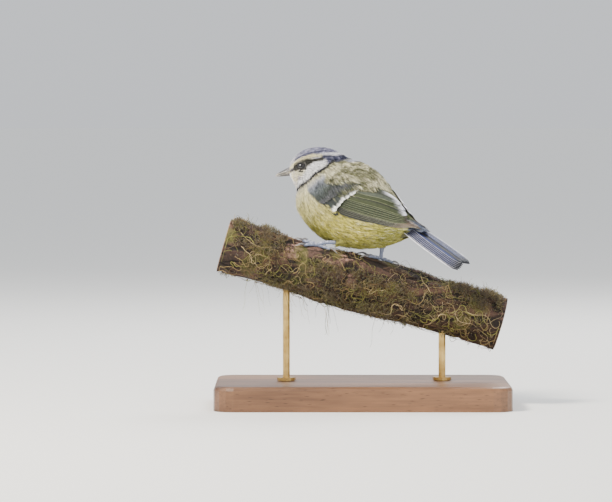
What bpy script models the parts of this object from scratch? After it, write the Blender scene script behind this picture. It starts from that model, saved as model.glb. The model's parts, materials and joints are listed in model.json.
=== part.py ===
"""A blue tit crouched on a cut length of mossy branch, life size, on a plain display stand.

The bird faces -X with its left side towards -Y, the tail swung a little towards -Y, and the head
turned back into profile. Its flesh is one lofted form, from the root of the bill to the root of the
tail, parted by thin gaps into head, neck, torso and rump. Flight feathers, tail feathers and wing
coverts are overlapping vanes. The origin is the middle of the underside of the stand's base.
"""

import math

import bmesh
import bpy
import numpy as np
from mathutils import Matrix, Vector
from mathutils.bvhtree import BVHTree

# Lengths are in millimetres, and MM turns them into Blender's metres. Angles are in degrees.
MM = 0.001
GAP = 0.3

# Stance: how far the body and the head are turned from the X axis, and the neck's place between them.
BODY_YAW = 28.0
HEAD_YAW = 5.0
BODY_Y = -3.0
NECK_X = -18.0

# The body's sections from the face to the wing tips, as seen from the side. Each has its point on the
# back and its point below (x, z), its half width, how far down it is widest (0 to 1), and its yaw.
SECTIONS = [
    ((-32.6, 106.1), (-32.4, 103.0), 1.9, 0.50, 5.0),  # 0 face, where the bill leaves it
    ((-31.9, 109.3), (-31.5, 101.5), 4.1, 0.55, 5.0),  # 1 forehead and chin
    ((-29.2, 112.9), (-30.6, 99.4), 6.5, 0.56, 5.0),  # 2 in front of the eye
    ((-25.2, 115.2), (-29.8, 97.7), 8.0, 0.56, 5.0),  # 3 behind the eye
    ((-19.8, 116.2), (-29.5, 96.4), 8.7, 0.55, 7.0),  # 4 crown
    ((-14.4, 115.6), (-29.6, 95.2), 9.1, 0.54, 11.0),  # 5 hind crown
    ((-9.5, 113.6), (-29.6, 93.8), 9.5, 0.52, 16.0),  # 6 nape
    ((-5.8, 111.1), (-29.4, 92.0), 10.4, 0.50, 21.0),  # 7 neck
    ((-0.2, 109.3), (-28.8, 89.4), 12.3, 0.50, 26.0),  # 8 shoulders
    ((4.0, 106.9), (-27.2, 85.9), 13.9, 0.52, 28.0),  # 9 breast
    ((8.5, 103.0), (-23.4, 80.5), 14.6, 0.54, 28.0),  # 10 back
    ((12.1, 98.6), (-16.6, 74.6), 14.3, 0.55, 28.0),  # 11 belly
    ((15.6, 93.8), (-6.8, 70.9), 13.1, 0.55, 28.0),  # 12 lower belly
    ((19.2, 88.8), (4.4, 70.5), 11.0, 0.52, 28.0),  # 13 rump
    ((22.3, 85.0), (13.4, 72.8), 8.9, 0.50, 28.0),  # 14 tail coverts
    ((25.6, 81.8), (20.6, 75.6), 7.4, 0.50, 28.0),  # 15 root of the tail
    ((30.6, 77.6), (27.2, 72.8), 6.4, 0.50, 28.0),  # 16 wing tips, past the flesh
]
ROWS = np.array([(*back, *under, half, wide, yaw) for back, under, half, wide, yaw in SECTIONS])
HEAD_END = 5.6
NECK_END = 7.6
TORSO_END = 13.6
RUMP_END = 15.0

# The bed in which each folded wing lies: its depth, its upper and lower edges round the body, in front
# and behind, and its front end.
BED_DEPTH = 4.1
BED_REAR = 1.6
BED_TOP = (46.0, 24.0)
BED_FOOT = (118.0, 87.0)
BED_START = 6.4
RUMP_DROP = 3.2

# Head
BILL_LENGTH = 6.5
BILL_WIDTH = 3.5
UPPER_HEIGHT = 1.75
LOWER_HEIGHT = 1.25
GAPE_LENGTH = 1.5
EYE_RADIUS = 2.3
EYE_SECTION = 3.05
EYE_ANGLE = 77.0
EYE_SINK = 1.75
LID_RADIUS = 1.95
LID_THICK = 0.42
NOSTRIL_RADIUS = 0.32

# Feathers
VANE_THICK = 0.52
WING_SWEEP = 1.8
PRIMARY_TILT = 7.2
SECONDARY_TILT = 7.5
COVERT_TILT = 5.0
TIP_LIFT = 1.3
TAIL_PITCH = 33.2
TAIL_ROLL = 20.0
TAIL_LENGTH = 28.2
TAIL_SIDE = 6
TAIL_WIDTH = 4.8
TAIL_SPREAD = (0.78, 0.09)
TAIL_LIFT = 1.0
TAIL_ARCH = 0.02
TAIL_STEP = 0.24

# Legs
TARSUS_RADIUS = 0.95
TOE_RADIUS = 0.72
TOE_STEPS = 6
CLAW_LENGTH = 3.0
CLAW_RADIUS = 0.46
CLAW_STEPS = 4

# Perch and stand
BRANCH_HALF = 62.0
BRANCH_MID_Z = 54.3
BRANCH_SLOPE = 0.286
BRANCH_RADIUS = 12.2
BASE_SIZE = (132.0, 84.0, 11.0)
BASE_CORNER = 9.0
BASE_BEVEL = 1.8
ROD_RADIUS = 1.6
ROD_PLACES = {"front": -34.0, "back": 36.0}
ROD_SINK = 6.0
COLLAR_RADIUS = 4.2
COLLAR_HEIGHT = 1.4
POST_SIDES = 12

COLOURS = {
    "head": (0.42, 0.44, 0.52),
    "neck": (0.62, 0.62, 0.52),
    "torso": (0.55, 0.52, 0.16),
    "rump": (0.40, 0.42, 0.20),
    "tail": (0.30, 0.34, 0.50),
    "wing": (0.22, 0.26, 0.20),
    "bill": (0.45, 0.45, 0.42),
    "eye": (0.012, 0.010, 0.009),
    "leg": (0.40, 0.44, 0.55),
    "claw": (0.30, 0.29, 0.28),
    "branch": (0.16, 0.10, 0.07),
    "moss": (0.20, 0.24, 0.05),
    "wood": (0.30, 0.19, 0.11),
    "brass": (0.70, 0.52, 0.25),
}


def clear_scene():
    """Start from an empty file."""
    for item in list(bpy.data.objects):
        bpy.data.objects.remove(item, do_unlink=True)


def smooth_step(low, high, value):
    """0 below low, 1 above high and a soft rise between them."""
    part = min(max((value - low) / (high - low), 0.0), 1.0)
    return part * part * (3.0 - 2.0 * part)


def spline(values, place):
    """A Catmull-Rom curve through values, which stand at the whole numbers."""
    last = len(values) - 1
    first = min(max(int(place), 0), last - 1)
    part = place - first
    before = values[max(first - 1, 0)]
    start = values[first]
    end = values[first + 1]
    after = values[min(first + 2, last)]
    bend = 2.0 * before - 5.0 * start + 4.0 * end - after
    twist = 3.0 * start - before - 3.0 * end + after
    return 0.5 * (2.0 * start + (end - before) * part + bend * part**2 + twist * part**3)


def material(kind):
    """One Principled material for each kind of surface."""
    made = bpy.data.materials.get(kind)
    if made is None:
        made = bpy.data.materials.new(kind)
        made.use_nodes = True
        shader = made.node_tree.nodes["Principled BSDF"]
        shader.inputs["Base Color"].default_value = (*COLOURS[kind], 1.0)
        shader.inputs["Roughness"].default_value = 0.1 if kind == "eye" else 0.6
        shader.inputs["Metallic"].default_value = 1.0 if kind == "brass" else 0.0
        made.diffuse_color = (*COLOURS[kind], 1.0)
    return made


def add_object(name, shape, kind):
    """Turn a bmesh in millimetres into a named object in metres, with its faces pointing out."""
    bmesh.ops.recalc_face_normals(shape, faces=shape.faces)
    bmesh.ops.scale(shape, vec=(MM, MM, MM), verts=shape.verts)
    mesh = bpy.data.meshes.new(name)
    shape.to_mesh(mesh)
    shape.free()
    mesh.materials.append(material(kind))
    made = bpy.data.objects.new(name, mesh)
    bpy.context.scene.collection.objects.link(made)
    return made


def finish(made, crease=40.0):
    """Shade a piece smooth, except across sharp edges."""
    made.data.shade_smooth()
    made.data.set_sharp_from_angle(angle=math.radians(crease))
    return made


def keep_largest(made):
    """Keep only the largest closed surface of a piece."""
    shape = bmesh.new()
    shape.from_mesh(made.data)
    left = set(shape.faces)
    best = (0.0, [])
    while left:
        stack = [left.pop()]
        group = list(stack)
        while stack:
            for edge in stack.pop().edges:
                for face in edge.link_faces:
                    if face in left:
                        left.remove(face)
                        stack.append(face)
                        group.append(face)
        area = sum(face.calc_area() for face in group)
        if area > best[0]:
            best = (area, group)
    kept = set(best[1])
    loose = [face for face in shape.faces if face not in kept]
    bmesh.ops.delete(shape, geom=loose, context="FACES")
    stray = [vert for vert in shape.verts if not vert.link_faces]
    bmesh.ops.delete(shape, geom=stray, context="VERTS")
    shape.to_mesh(made.data)
    shape.free()


def combine(made, others, operation, solver="EXACT"):
    """Join others to a piece, or cut them from it, in one Boolean, and remove them."""
    group = bpy.data.collections.new(made.name + "_parts")
    for other in others:
        bpy.context.scene.collection.objects.unlink(other)
        group.objects.link(other)
    bpy.context.scene.collection.children.link(group)
    join = made.modifiers.new("join", "BOOLEAN")
    join.operation = operation
    join.solver = solver
    join.operand_type = "COLLECTION"
    join.collection = group
    bpy.context.view_layer.update()
    shaped = made.evaluated_get(bpy.context.evaluated_depsgraph_get())
    mesh = bpy.data.meshes.new_from_object(shaped)
    made.modifiers.clear()
    made.data = mesh
    mesh.materials.clear()
    mesh.materials.append(material(made["kind"]))
    for other in list(group.objects):
        bpy.data.objects.remove(other, do_unlink=True)
    bpy.data.collections.remove(group)
    keep_largest(made)
    return made


def loft(rings, split=False):
    """A closed skin over rings of points. Split gives triangles that run alike on every side."""
    shape = bmesh.new()
    rows = [[shape.verts.new(point) for point in ring] for ring in rings]
    for lower, upper in zip(rows, rows[1:]):
        for i in range(len(lower)):
            j = (i + 1) % len(lower)
            if split:
                shape.faces.new((lower[i], lower[j], upper[j]))
                shape.faces.new((lower[i], upper[j], upper[i]))
            else:
                shape.faces.new((lower[i], lower[j], upper[j], upper[i]))
    shape.faces.new(list(reversed(rows[0])))
    shape.faces.new(rows[-1])
    return shape


def tube(points, radii, sides=8, flat=1.0):
    """A closed tube along points, with a radius for each and its top pressed flat."""
    rings = []
    for i, point in enumerate(points):
        ahead = points[min(i + 1, len(points) - 1)] - points[max(i - 1, 0)]
        side = ahead.cross(Vector((0, 0, 1)))
        if side.length < 1e-6:
            side = Vector((0, 1, 0))
        side.normalize()
        up = side.cross(ahead).normalized()
        ring = []
        for k in range(sides):
            turn = 2.0 * math.pi * k / sides
            ring.append(point + radii[i] * (side * math.cos(turn) + up * math.sin(turn) * flat))
        rings.append(ring)
    return loft(rings)


# Body


def median_y(x):
    """Where the bird's middle plane lies: the body's line, bent at the neck to the head's."""
    neck_y = BODY_Y - NECK_X * math.tan(math.radians(BODY_YAW))
    if x < NECK_X:
        return neck_y + (NECK_X - x) * math.tan(math.radians(HEAD_YAW))
    return BODY_Y - x * math.tan(math.radians(BODY_YAW))


def section(place):
    """Centre of a body section, and its arms to the back, to the underside and to the left."""
    back_x, back_z, under_x, under_z, half, wide, yaw = spline(ROWS, place)
    turn = math.radians(yaw)
    x = back_x + (under_x - back_x) * wide
    z = back_z + (under_z - back_z) * wide
    centre = Vector((x, median_y(x), z))
    back = Vector((back_x - x, (x - back_x) * math.tan(turn), back_z - z))
    under = Vector((under_x - x, (x - under_x) * math.tan(turn), under_z - z))
    left = Vector((-math.sin(turn), -math.cos(turn), 0.0)) * half
    return centre, back, under, left


def wing_bed(place, angle):
    """How deep the flesh lies below the feathered outline under a folded wing."""
    around = abs(angle)
    top = BED_TOP[0] + (BED_TOP[1] - BED_TOP[0]) * smooth_step(9.4, 12.2, place)
    foot = BED_FOOT[0] + (BED_FOOT[1] - BED_FOOT[0]) * smooth_step(9.6, 12.4, place)
    across = smooth_step(top - 14.0, top, around) * (1.0 - smooth_step(foot, foot + 14.0, around))
    along = smooth_step(BED_START, BED_START + 1.2, place)
    rear = smooth_step(11.5, 13.5, place)
    middle = RUMP_DROP * rear * (1.0 - smooth_step(top, top + 20.0, around))
    return max((BED_DEPTH + BED_REAR * rear) * across * along, middle)


def on_body(place, angle, depth=0.0):
    """A point of the outline at an angle from the back, positive on the left, sunk by a depth."""
    centre, back, under, left = section(place)
    turn = math.radians(angle)
    rise = back if math.cos(turn) >= 0.0 else -under
    arm = rise * math.cos(turn) + left * math.sin(turn)
    short = depth * min(1.0, arm.length / 9.0)
    return centre + arm * (1.0 - short / arm.length)


def body_normal(place, angle):
    """The outward direction of the outline at a place and an angle."""
    step = 0.02
    along = on_body(place + step, angle) - on_body(place - step, angle)
    around = on_body(place, angle + 1.0) - on_body(place, angle - 1.0)
    return along.cross(around).normalized() * -1.0


def flesh_ring(place, sides, shift=0.0):
    """One section of the flesh, moved along the body by a shift."""
    centre, back, _, left = section(place)
    ahead = back.cross(left).normalized()
    if ahead.x < 0.0:
        ahead.negate()
    ring = []
    for k in range(sides):
        angle = 360.0 * k / sides
        angle = angle - 360.0 if angle > 180.0 else angle
        ring.append(on_body(place, angle, wing_bed(place, angle)) + ahead * shift)
    return ring


def flesh(name, start, end, steps, sides):
    """One length of the body, between two plane ends."""
    places = [start + (end - start) * i / steps for i in range(steps + 1)]
    rings = [flesh_ring(place, sides) for place in places]
    if start > 0.0:
        rings[0] = flesh_ring(start, sides, GAP)
    return add_object(name, loft(rings), name)


# Head


def eye_centre(side):
    """The middle of an eyeball, below the outline of the head."""
    angle = EYE_ANGLE * side
    return on_body(EYE_SECTION, angle) - body_normal(EYE_SECTION, angle) * EYE_SINK


def ball(name, centre, radius, kind, rounds=20, rings=12):
    """A sphere."""
    shape = bmesh.new()
    bmesh.ops.create_uvsphere(shape, u_segments=rounds, v_segments=rings, radius=radius)
    bmesh.ops.translate(shape, vec=centre, verts=shape.verts)
    return add_object(name, shape, kind)


def lid(side):
    """The rim of both lids, an oval ring round the eye's opening, longer along the head."""
    angle = EYE_ANGLE * side
    out = body_normal(EYE_SECTION, angle)
    ahead = (on_body(EYE_SECTION - 0.1, angle) - on_body(EYE_SECTION + 0.1, angle)).normalized()
    up = out.cross(ahead) * side
    middle = on_body(EYE_SECTION, angle)
    rings = []
    steps = 16
    for i in range(steps):
        turn = 2.0 * math.pi * i / steps
        reach = ahead * math.cos(turn) * 1.12 + up * math.sin(turn) * 0.92
        spot = middle + reach * LID_RADIUS - out * 0.25 * math.cos(turn) ** 2
        ring = []
        for k in range(5):
            lean = 2.0 * math.pi * k / 5
            ring.append(spot + (reach.normalized() * math.cos(lean) + out * math.sin(lean)) * LID_THICK)
        rings.append(ring)
    shape = bmesh.new()
    rows = [[shape.verts.new(point) for point in ring] for ring in rings]
    for row, after in zip(rows, rows[1:] + rows[:1]):
        for k in range(5):
            m = (k + 1) % 5
            shape.faces.new((row[k], row[m], after[m], after[k]))
    return add_object("lid", shape, "head")


def bill_frame():
    """The bill's root, its direction and its left."""
    root, back, _, left = section(0.0)
    out = (eye_centre(1) - eye_centre(-1)).cross(Vector((0, 0, 1))).normalized()
    if out.x > 0.0:
        out.negate()
    return root, (out + Vector((0, 0, -0.2))).normalized(), left.normalized()


def mandible(name, top, height):
    """One half of the bill: a tapering half round, its flat towards the other half."""
    root, out, left = bill_frame()
    up = left.cross(out) if left.cross(out).z > 0.0 else out.cross(left)
    sign = 1.0 if top else -1.0
    steps = 10
    length = BILL_LENGTH if top else BILL_LENGTH * 0.96
    rings = []
    for i in range(steps + 1):
        part = i / steps
        taper = max((1.0 - part) ** 0.72, 0.06)
        bow = height * taper * (1.0 - 0.12 * math.sin(math.pi * part))
        half = 0.5 * BILL_WIDTH * max((1.0 - part) ** 0.62, 0.07)
        spot = root + out * (GAP + length * part) + up * sign * 0.5 * GAP
        ring = []
        for k in range(9):
            turn = math.pi * k / 8
            ring.append(spot + left * math.cos(turn) * half + up * sign * math.sin(turn) * bow)
        rings.append(ring)
    return add_object(name, loft(rings), "bill")


def build_head():
    """Head with sockets, lids and the corners of the mouth, then eyes and bill."""
    head = flesh("head", 0.0, HEAD_END, 18, 28)
    head["kind"] = "head"
    combine(head, [lid(1), lid(-1)], "UNION")
    root, out, left = bill_frame()
    slit = bmesh.new()
    bmesh.ops.create_cube(slit, size=1.0)
    turn = Matrix((out, left, out.cross(left))).transposed().to_4x4()
    turn.translation = root
    size = Matrix.Diagonal((2.0 * GAPE_LENGTH, 3.0 * BILL_WIDTH, GAP, 1.0))
    bmesh.ops.transform(slit, matrix=turn @ size, verts=slit.verts)
    cutters = [add_object("slit", slit, "head")]
    for side in (1, -1):
        cutters.append(ball("socket", eye_centre(side), EYE_RADIUS + GAP, "head", 16, 10))
    combine(head, cutters, "DIFFERENCE")
    finish(head)
    for side, word in ((1, "left"), (-1, "right")):
        finish(ball("eye_" + word, eye_centre(side), EYE_RADIUS, "eye", 16, 8))
    upper = mandible("bill_upper", True, UPPER_HEIGHT)
    upper["kind"] = "bill"
    up = left.cross(out) if left.cross(out).z > 0.0 else out.cross(left)
    spots = []
    for side in (1, -1):
        spot = root + out * 1.0 + left * side * BILL_WIDTH * 0.4 + up * UPPER_HEIGHT * 0.62
        spots.append(ball("nostril", spot, NOSTRIL_RADIUS, "bill", 8, 5))
    finish(combine(upper, spots, "DIFFERENCE"))
    finish(mandible("bill_lower", False, LOWER_HEIGHT))


# Feathers


def vane_width(part, root=0.5):
    """A feather's share of its full width along its length: narrow at the root, round at the tip."""
    widen = root + (1.0 - root) * smooth_step(0.0, 0.45, part)
    tip = max(part - 0.78, 0.0) / 0.22
    return widen * max(math.sqrt(max(1.0 - tip * tip, 0.0)), 0.16)


def vane(course, width, tilt=0.0, steps=6, thick=VANE_THICK):
    """One feather as a thin closed strip. The course gives a point and the outward direction."""
    spots = [course(i / steps) for i in range(steps + 1)]
    rings = []
    for i, (point, out) in enumerate(spots):
        ahead = (spots[min(i + 1, steps)][0] - spots[max(i - 1, 0)][0]).normalized()
        across = out.cross(ahead).normalized()
        up = ahead.cross(across)
        across = (Matrix.Rotation(math.radians(tilt), 3, ahead) @ across).normalized()
        half = 0.5 * width * vane_width(i / steps)
        rise = up * 0.5 * thick * (1.0 if i < steps else 0.7)
        ring = (point - across * half - rise, point + across * half - rise)
        rings.append([*ring, point + across * half + rise, point - across * half + rise])
    return loft(rings, split=True)


def wing_course(side, start, end, depths):
    """A feather's course on the folded wing. Past the flesh, its tip rises clear of the tail."""

    def course(part):
        place = start[0] + (end[0] - start[0]) * part
        angle = side * (end[1] + (start[1] - end[1]) * (1.0 - part) ** WING_SWEEP)
        depth = depths[0] + (depths[1] - depths[0]) * part
        depth -= TIP_LIFT * smooth_step(14.4, 15.8, place)
        return on_body(place, angle, depth), body_normal(place, angle)

    return course


def join_vanes(name, shapes, kind):
    """Fuse overlapping vanes into one closed node."""
    first = add_object(name, shapes[0], kind)
    first["kind"] = kind
    others = [add_object(f"vane_{i}", shape, kind) for i, shape in enumerate(shapes[1:])]
    combine(first, others, "UNION", "MANIFOLD")
    return finish(first, 25.0)


def primaries(side):
    """The outer flight feathers, the longest ones making the wing tip."""
    shapes = []
    reach = (14.9, 15.6, 16.2, 16.1, 15.7, 15.2)
    for i, end in enumerate(reach):
        start = (9.4 + 0.05 * i, 95.0 - 3.4 * i)
        stop = (end, 55.0 - 3.2 * i)
        course = wing_course(side, start, stop, (3.1, 1.65 - 0.04 * i))
        shapes.append(vane(course, 4.6, -side * PRIMARY_TILT, 5))
    return shapes


def secondaries(side):
    """Five inner flight feathers and three tertials, each lying over the one below."""
    shapes = []
    for i in range(5):
        start = (9.5, 93.0 - 6.6 * i)
        stop = (14.2 - 0.1 * i, 57.0 - 3.6 * i)
        course = wing_course(side, start, stop, (1.75 - 0.03 * i, 0.5))
        shapes.append(vane(course, 5.4, -side * SECONDARY_TILT, 5))
    for i in range(3):
        start = (9.8, 66.0 - 4.5 * i)
        stop = (13.6 - 0.5 * i, 41.0 - 2.5 * i)
        course = wing_course(side, start, stop, (1.6, 0.45 - 0.06 * i))
        shapes.append(vane(course, 5.4, -side * SECONDARY_TILT, 5))
    return shapes


def coverts(side):
    """The wing's arm, then its rows of coverts from the flight feathers up to the wrist."""
    shapes = [vane(wing_course(side, (7.8, 98.0), (9.7, 66.0), (0.4, 0.4)), 9.0, 0.0, 5, 0.7)]
    rows = (
        # number, place of the roots, reach, first and last angle, width, depth at the tip
        (7, 9.05, 1.45, 97.0, 57.0, 4.4, 0.10),  # greater
        (5, 8.50, 1.05, 99.0, 59.0, 5.2, -0.15),  # median
        (4, 8.00, 0.95, 101.0, 64.0, 5.8, -0.35),  # lesser
        (3, 7.50, 0.95, 100.0, 74.0, 6.2, -0.50),  # wrist
    )
    for count, place, reach, low, high, width, depth in rows:
        for i in range(count):
            angle = low + (high - low) * i / (count - 1)
            stop = (place + reach, angle - 9.0 * reach)
            course = wing_course(side, (place, angle), stop, (depth + 0.35, depth))
            shapes.append(vane(course, width, -side * COVERT_TILT, 3))
    return shapes


def tail():
    """Twelve tail feathers, the middle pair on top, with a shallow notch at the end."""
    root, _, _, left = section(RUMP_END)
    yaw = math.radians(BODY_YAW)
    pitch = math.radians(TAIL_PITCH)
    ahead = Vector((math.cos(yaw) * math.cos(pitch), -math.sin(yaw) * math.cos(pitch), -math.sin(pitch)))
    left = left.normalized()
    up = ahead.cross(left).normalized()
    if up.z < 0.0:
        up.negate()
    roll = Matrix.Rotation(math.radians(TAIL_ROLL), 3, ahead)
    left = roll @ left
    up = roll @ up
    shapes = []
    for j in reversed(range(TAIL_SIDE)):
        length = TAIL_LENGTH - 0.35 * abs(3.5 - j) ** 1.4
        for sign in (1, -1):
            low = 0.5 * TAIL_STEP if sign < 0 else 0.0

            def course(part, j=j, sign=sign, length=length, low=low):
                out = sign * (j + 0.3) * (TAIL_SPREAD[0] + TAIL_SPREAD[1] * part)
                sag = 0.6 * part * part
                point = root + ahead * (0.8 + length * part) + left * out
                arch = TAIL_ARCH * out * out
                return point - up * (j * TAIL_STEP + low + sag + arch - TAIL_LIFT), up

            shapes.append(vane(course, TAIL_WIDTH, 0.0, 4))
    return shapes


def build_feathers():
    """Both wings in three tiers, and the tail."""
    for side, word in ((1, "left"), (-1, "right")):
        join_vanes(f"wing_{word}_primaries", primaries(side), "wing")
        join_vanes(f"wing_{word}_secondaries", secondaries(side), "wing")
        join_vanes(f"wing_{word}_coverts", coverts(side), "wing")
    join_vanes("tail", tail(), "tail")


# Perch


def branch_centre(x):
    """The branch's middle line, falling towards +X with a slight bend."""
    return Vector((x, 1.2 * math.sin(x / 21.0), BRANCH_MID_Z - BRANCH_SLOPE * x + 0.3 * math.sin(x / 16.0)))


def branch_radius(x, turn):
    """The bark's distance from the middle line, with long ridges, swellings and old knots."""
    ridge = 0.3 * math.sin(5.0 * turn + x / 9.0) + 0.10 * math.sin(9.0 * turn - x / 5.0)
    swell = 0.35 * math.sin(x / 11.0 + 1.0) + 0.45 * math.sin(2.0 * turn + x / 17.0 + 1.8)
    return BRANCH_RADIUS + ridge + swell


def branch_point(x, turn, lift=0.0):
    """A point above the bark, turn counted from the top towards -Y, in radians."""
    radius = branch_radius(x, turn) + lift
    lean = Vector((BRANCH_SLOPE, 0.0, 1.0)).normalized()
    return branch_centre(x) + (lean * math.cos(turn) - Vector((0, 1, 0)) * math.sin(turn)) * radius


def build_branch():
    """The cut branch, with its two sawn ends, drilled for the rods."""
    sides, steps = 24, 20
    rings = []
    for i in range(steps + 1):
        x = -BRANCH_HALF + 2.0 * BRANCH_HALF * i / steps
        rings.append([branch_point(x, 2.0 * math.pi * k / sides) for k in range(sides)])
    branch = add_object("perch_branch", loft(rings), "branch")
    branch["kind"] = "branch"
    return branch


def moss_mat(name, start, end, middle, reach, thick):
    """A cushion of moss that hugs the bark, thick in the middle and thin at its ragged rim."""
    along, around = 7, 6
    inner, outer = [], []
    for i in range(along + 1):
        low, high = [], []
        for k in range(around + 1):
            part = 2.0 * k / around - 1.0
            edge = 1.0 * math.sin(2.7 * k + middle) * abs(2.0 * i / along - 1.0)
            x = start + (end - start) * i / along + edge
            ragged = 1.0 + 0.16 * math.sin(x * 0.55 + 2.0 * part) + 0.10 * math.sin(x * 1.3 + part)
            turn = math.radians(middle + reach * part * ragged)
            dome = (1.0 - part**4) * (1.0 - (2.0 * i / along - 1.0) ** 6)
            lump = 0.75 + 0.25 * math.sin(x * 0.7 + 5.0 * part) + 0.2 * math.sin(x * 0.33 - 3.0 * part)
            low.append(branch_point(x, turn, GAP + 0.5))
            high.append(branch_point(x, turn, GAP + 1.1 + thick * dome * lump))
        inner.append(low)
        outer.append(high)
    rings = [high + list(reversed(low)) for low, high in zip(inner, outer)]
    return finish(add_object(name, loft(rings), "moss"), 50.0)


def build_moss():
    """Four mats: over the high end, along the front, underneath, and over the low end."""
    moss_mat("perch_moss_high_end", -60.5, -36.5, 20.0, 62.0, 2.6)
    moss_mat("perch_moss_front", -26.0, 30.0, 86.0, 26.0, 1.8)
    moss_mat("perch_moss_underside", -46.0, 28.0, 137.0, 19.0, 2.2)
    moss_mat("perch_moss_low_end", 34.0, 60.5, 14.0, 58.0, 2.8)


# Legs


def walk(tree, start, heading, length, bend, steps):
    """Points and normals of a path over the bark, from a start near it and a heading in degrees."""
    spot, out = tree.find_nearest(start)[:2]
    path = [(spot, out)]
    turn = math.radians(heading)
    ahead = Vector((-math.cos(turn), math.sin(turn), 0.0))
    for _ in range(steps):
        ahead = (Matrix.Rotation(-math.radians(bend) / steps, 3, out) @ ahead).normalized()
        ahead = (ahead - out * ahead.dot(out)).normalized()
        spot, out = tree.find_nearest(spot + ahead * length / steps)[:2]
        path.append((spot, out))
    return path


def claw(name, path):
    """A curved claw that arches off the toe's end and down to the bark."""
    points, radii = [], []
    last = len(path) - 1
    for i, (spot, out) in enumerate(path):
        part = i / last
        radius = CLAW_RADIUS * (1.0 - part) ** 0.7 + 0.09
        arch = 0.45 * (1.0 - part) + 0.5 * math.sin(math.pi * min(part * 1.2, 1.0))
        points.append(spot + out * (GAP + 0.05 + radius + arch))
        radii.append(radius)
    ahead = (points[1] - points[0]).normalized()
    points = [point + ahead * GAP for point in points]
    return finish(add_object(name, tube(points, radii, 6), "claw"))


def toe(path):
    """A toe along a path over the bark, thick at each joint."""
    points, radii = [], []
    for i, (spot, out) in enumerate(path):
        knuckle = 1.14 if i % 2 == 0 else 0.94
        radius = TOE_RADIUS * knuckle * (1.0 - 0.22 * i / len(path))
        points.append(spot + out * (radius + GAP + 0.08))
        radii.append(radius)
    return add_object("toe", tube(points, radii, 7), "leg")


def build_leg(word, tree, ankle, foot, headings):
    """Tarsus and toes as one node, with a scuted front, and four claws."""
    above = tree.ray_cast(Vector((*foot, 200.0)), Vector((0, 0, -1)))
    base = above[0] + above[1] * (TOE_RADIUS * 1.14 + GAP + 0.1)
    ankle = Vector(ankle)
    steps = 10
    points, radii = [], []
    for i in range(steps + 1):
        part = i / steps
        points.append(ankle.lerp(base, part) + Vector((0, 0, 0.5 * math.sin(math.pi * part))))
        scute = 0.07 if i % 2 else 0.0
        radii.append(TARSUS_RADIUS * (1.0 - 0.14 * math.sin(math.pi * part)) + scute)
    leg = add_object("leg_" + word, tube(points, radii, 7), "leg")
    leg["kind"] = "leg"
    toes = []
    for number, (heading, length, bend) in enumerate(headings, 1):
        reach = length + CLAW_LENGTH
        path = walk(tree, above[0], heading, reach, bend, TOE_STEPS + CLAW_STEPS)
        toes.append(toe(path[: TOE_STEPS + 1]))
        claw(f"claw_{word}_{number}", path[TOE_STEPS:])
    combine(leg, toes, "UNION")
    finish(leg)


def build_thigh(word, torso, start, end, radii):
    """The feathered thigh, sunk into the belly, from which the tarsus leaves."""
    start, end = Vector(start), Vector(end)
    points = [start.lerp(end, i / 6) for i in range(7)]
    sizes = [radii[0] + (radii[1] - radii[0]) * (i / 6) ** 1.5 for i in range(7)]
    thigh = add_object("thigh_" + word, tube(points, sizes, 12), "torso")
    wide = [size + GAP for size in (*sizes, sizes[-1])]
    ahead = (end - start).normalized()
    points = [start - ahead * GAP, *points[1:], end + ahead * 4.0]
    room = add_object("room", tube(points, wide, 12), "torso")
    combine(torso, [room], "DIFFERENCE")
    finish(thigh)


def build_stand(branch):
    """A plain wooden base and two brass rods, let into the base and the branch."""
    shape = bmesh.new()
    bmesh.ops.create_cube(shape, size=1.0)
    bmesh.ops.scale(shape, vec=BASE_SIZE, verts=shape.verts)
    bmesh.ops.translate(shape, vec=(0, 0, 0.5 * BASE_SIZE[2]), verts=shape.verts)
    upright = [e for e in shape.edges if abs(e.verts[0].co.z - e.verts[1].co.z) > 1.0]
    bmesh.ops.bevel(shape, geom=upright, offset=BASE_CORNER, segments=4, affect="EDGES", profile=0.5)
    top = [e for e in shape.edges if min(v.co.z for v in e.verts) > BASE_SIZE[2] - 0.01]
    bmesh.ops.bevel(shape, geom=top, offset=BASE_BEVEL, segments=2, affect="EDGES", profile=0.5)
    base = add_object("stand_base", shape, "wood")
    base["kind"] = "wood"
    holes_below, holes_above = [], []
    for word, x in ROD_PLACES.items():
        foot = branch_point(x, math.pi)
        y = branch_centre(x).y
        top_z = foot.z + ROD_SINK
        low_z = BASE_SIZE[2] - ROD_SINK
        collar = BASE_SIZE[2] + GAP
        heights = (low_z, collar, collar, collar + COLLAR_HEIGHT, collar + COLLAR_HEIGHT, top_z)
        widths = (ROD_RADIUS, ROD_RADIUS, COLLAR_RADIUS, COLLAR_RADIUS, ROD_RADIUS, ROD_RADIUS)
        finish(add_object("stand_rod_" + word, post(x, y, heights, widths), "brass"))
        deep = (low_z - GAP, BASE_SIZE[2] + 2.0)
        wide = (ROD_RADIUS + GAP,) * 2
        holes_below.append(add_object("hole", post(x, y, deep, wide), "wood"))
        deep = (foot.z - 6.0, top_z + GAP)
        holes_above.append(add_object("hole", post(x, y, deep, wide), "branch"))
    finish(combine(base, holes_below, "DIFFERENCE"), 35.0)
    combine(branch, holes_above, "DIFFERENCE")
    finish(branch, 50.0)


def post(x, y, heights, widths):
    """A round upright piece from heights and the radius at each."""
    rings = []
    for z, radius in zip(heights, widths):
        ring = []
        for k in range(POST_SIDES):
            turn = 2.0 * math.pi * k / POST_SIDES
            ring.append(Vector((x + radius * math.cos(turn), y + radius * math.sin(turn), z)))
        rings.append(ring)
    return loft(rings)


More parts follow.
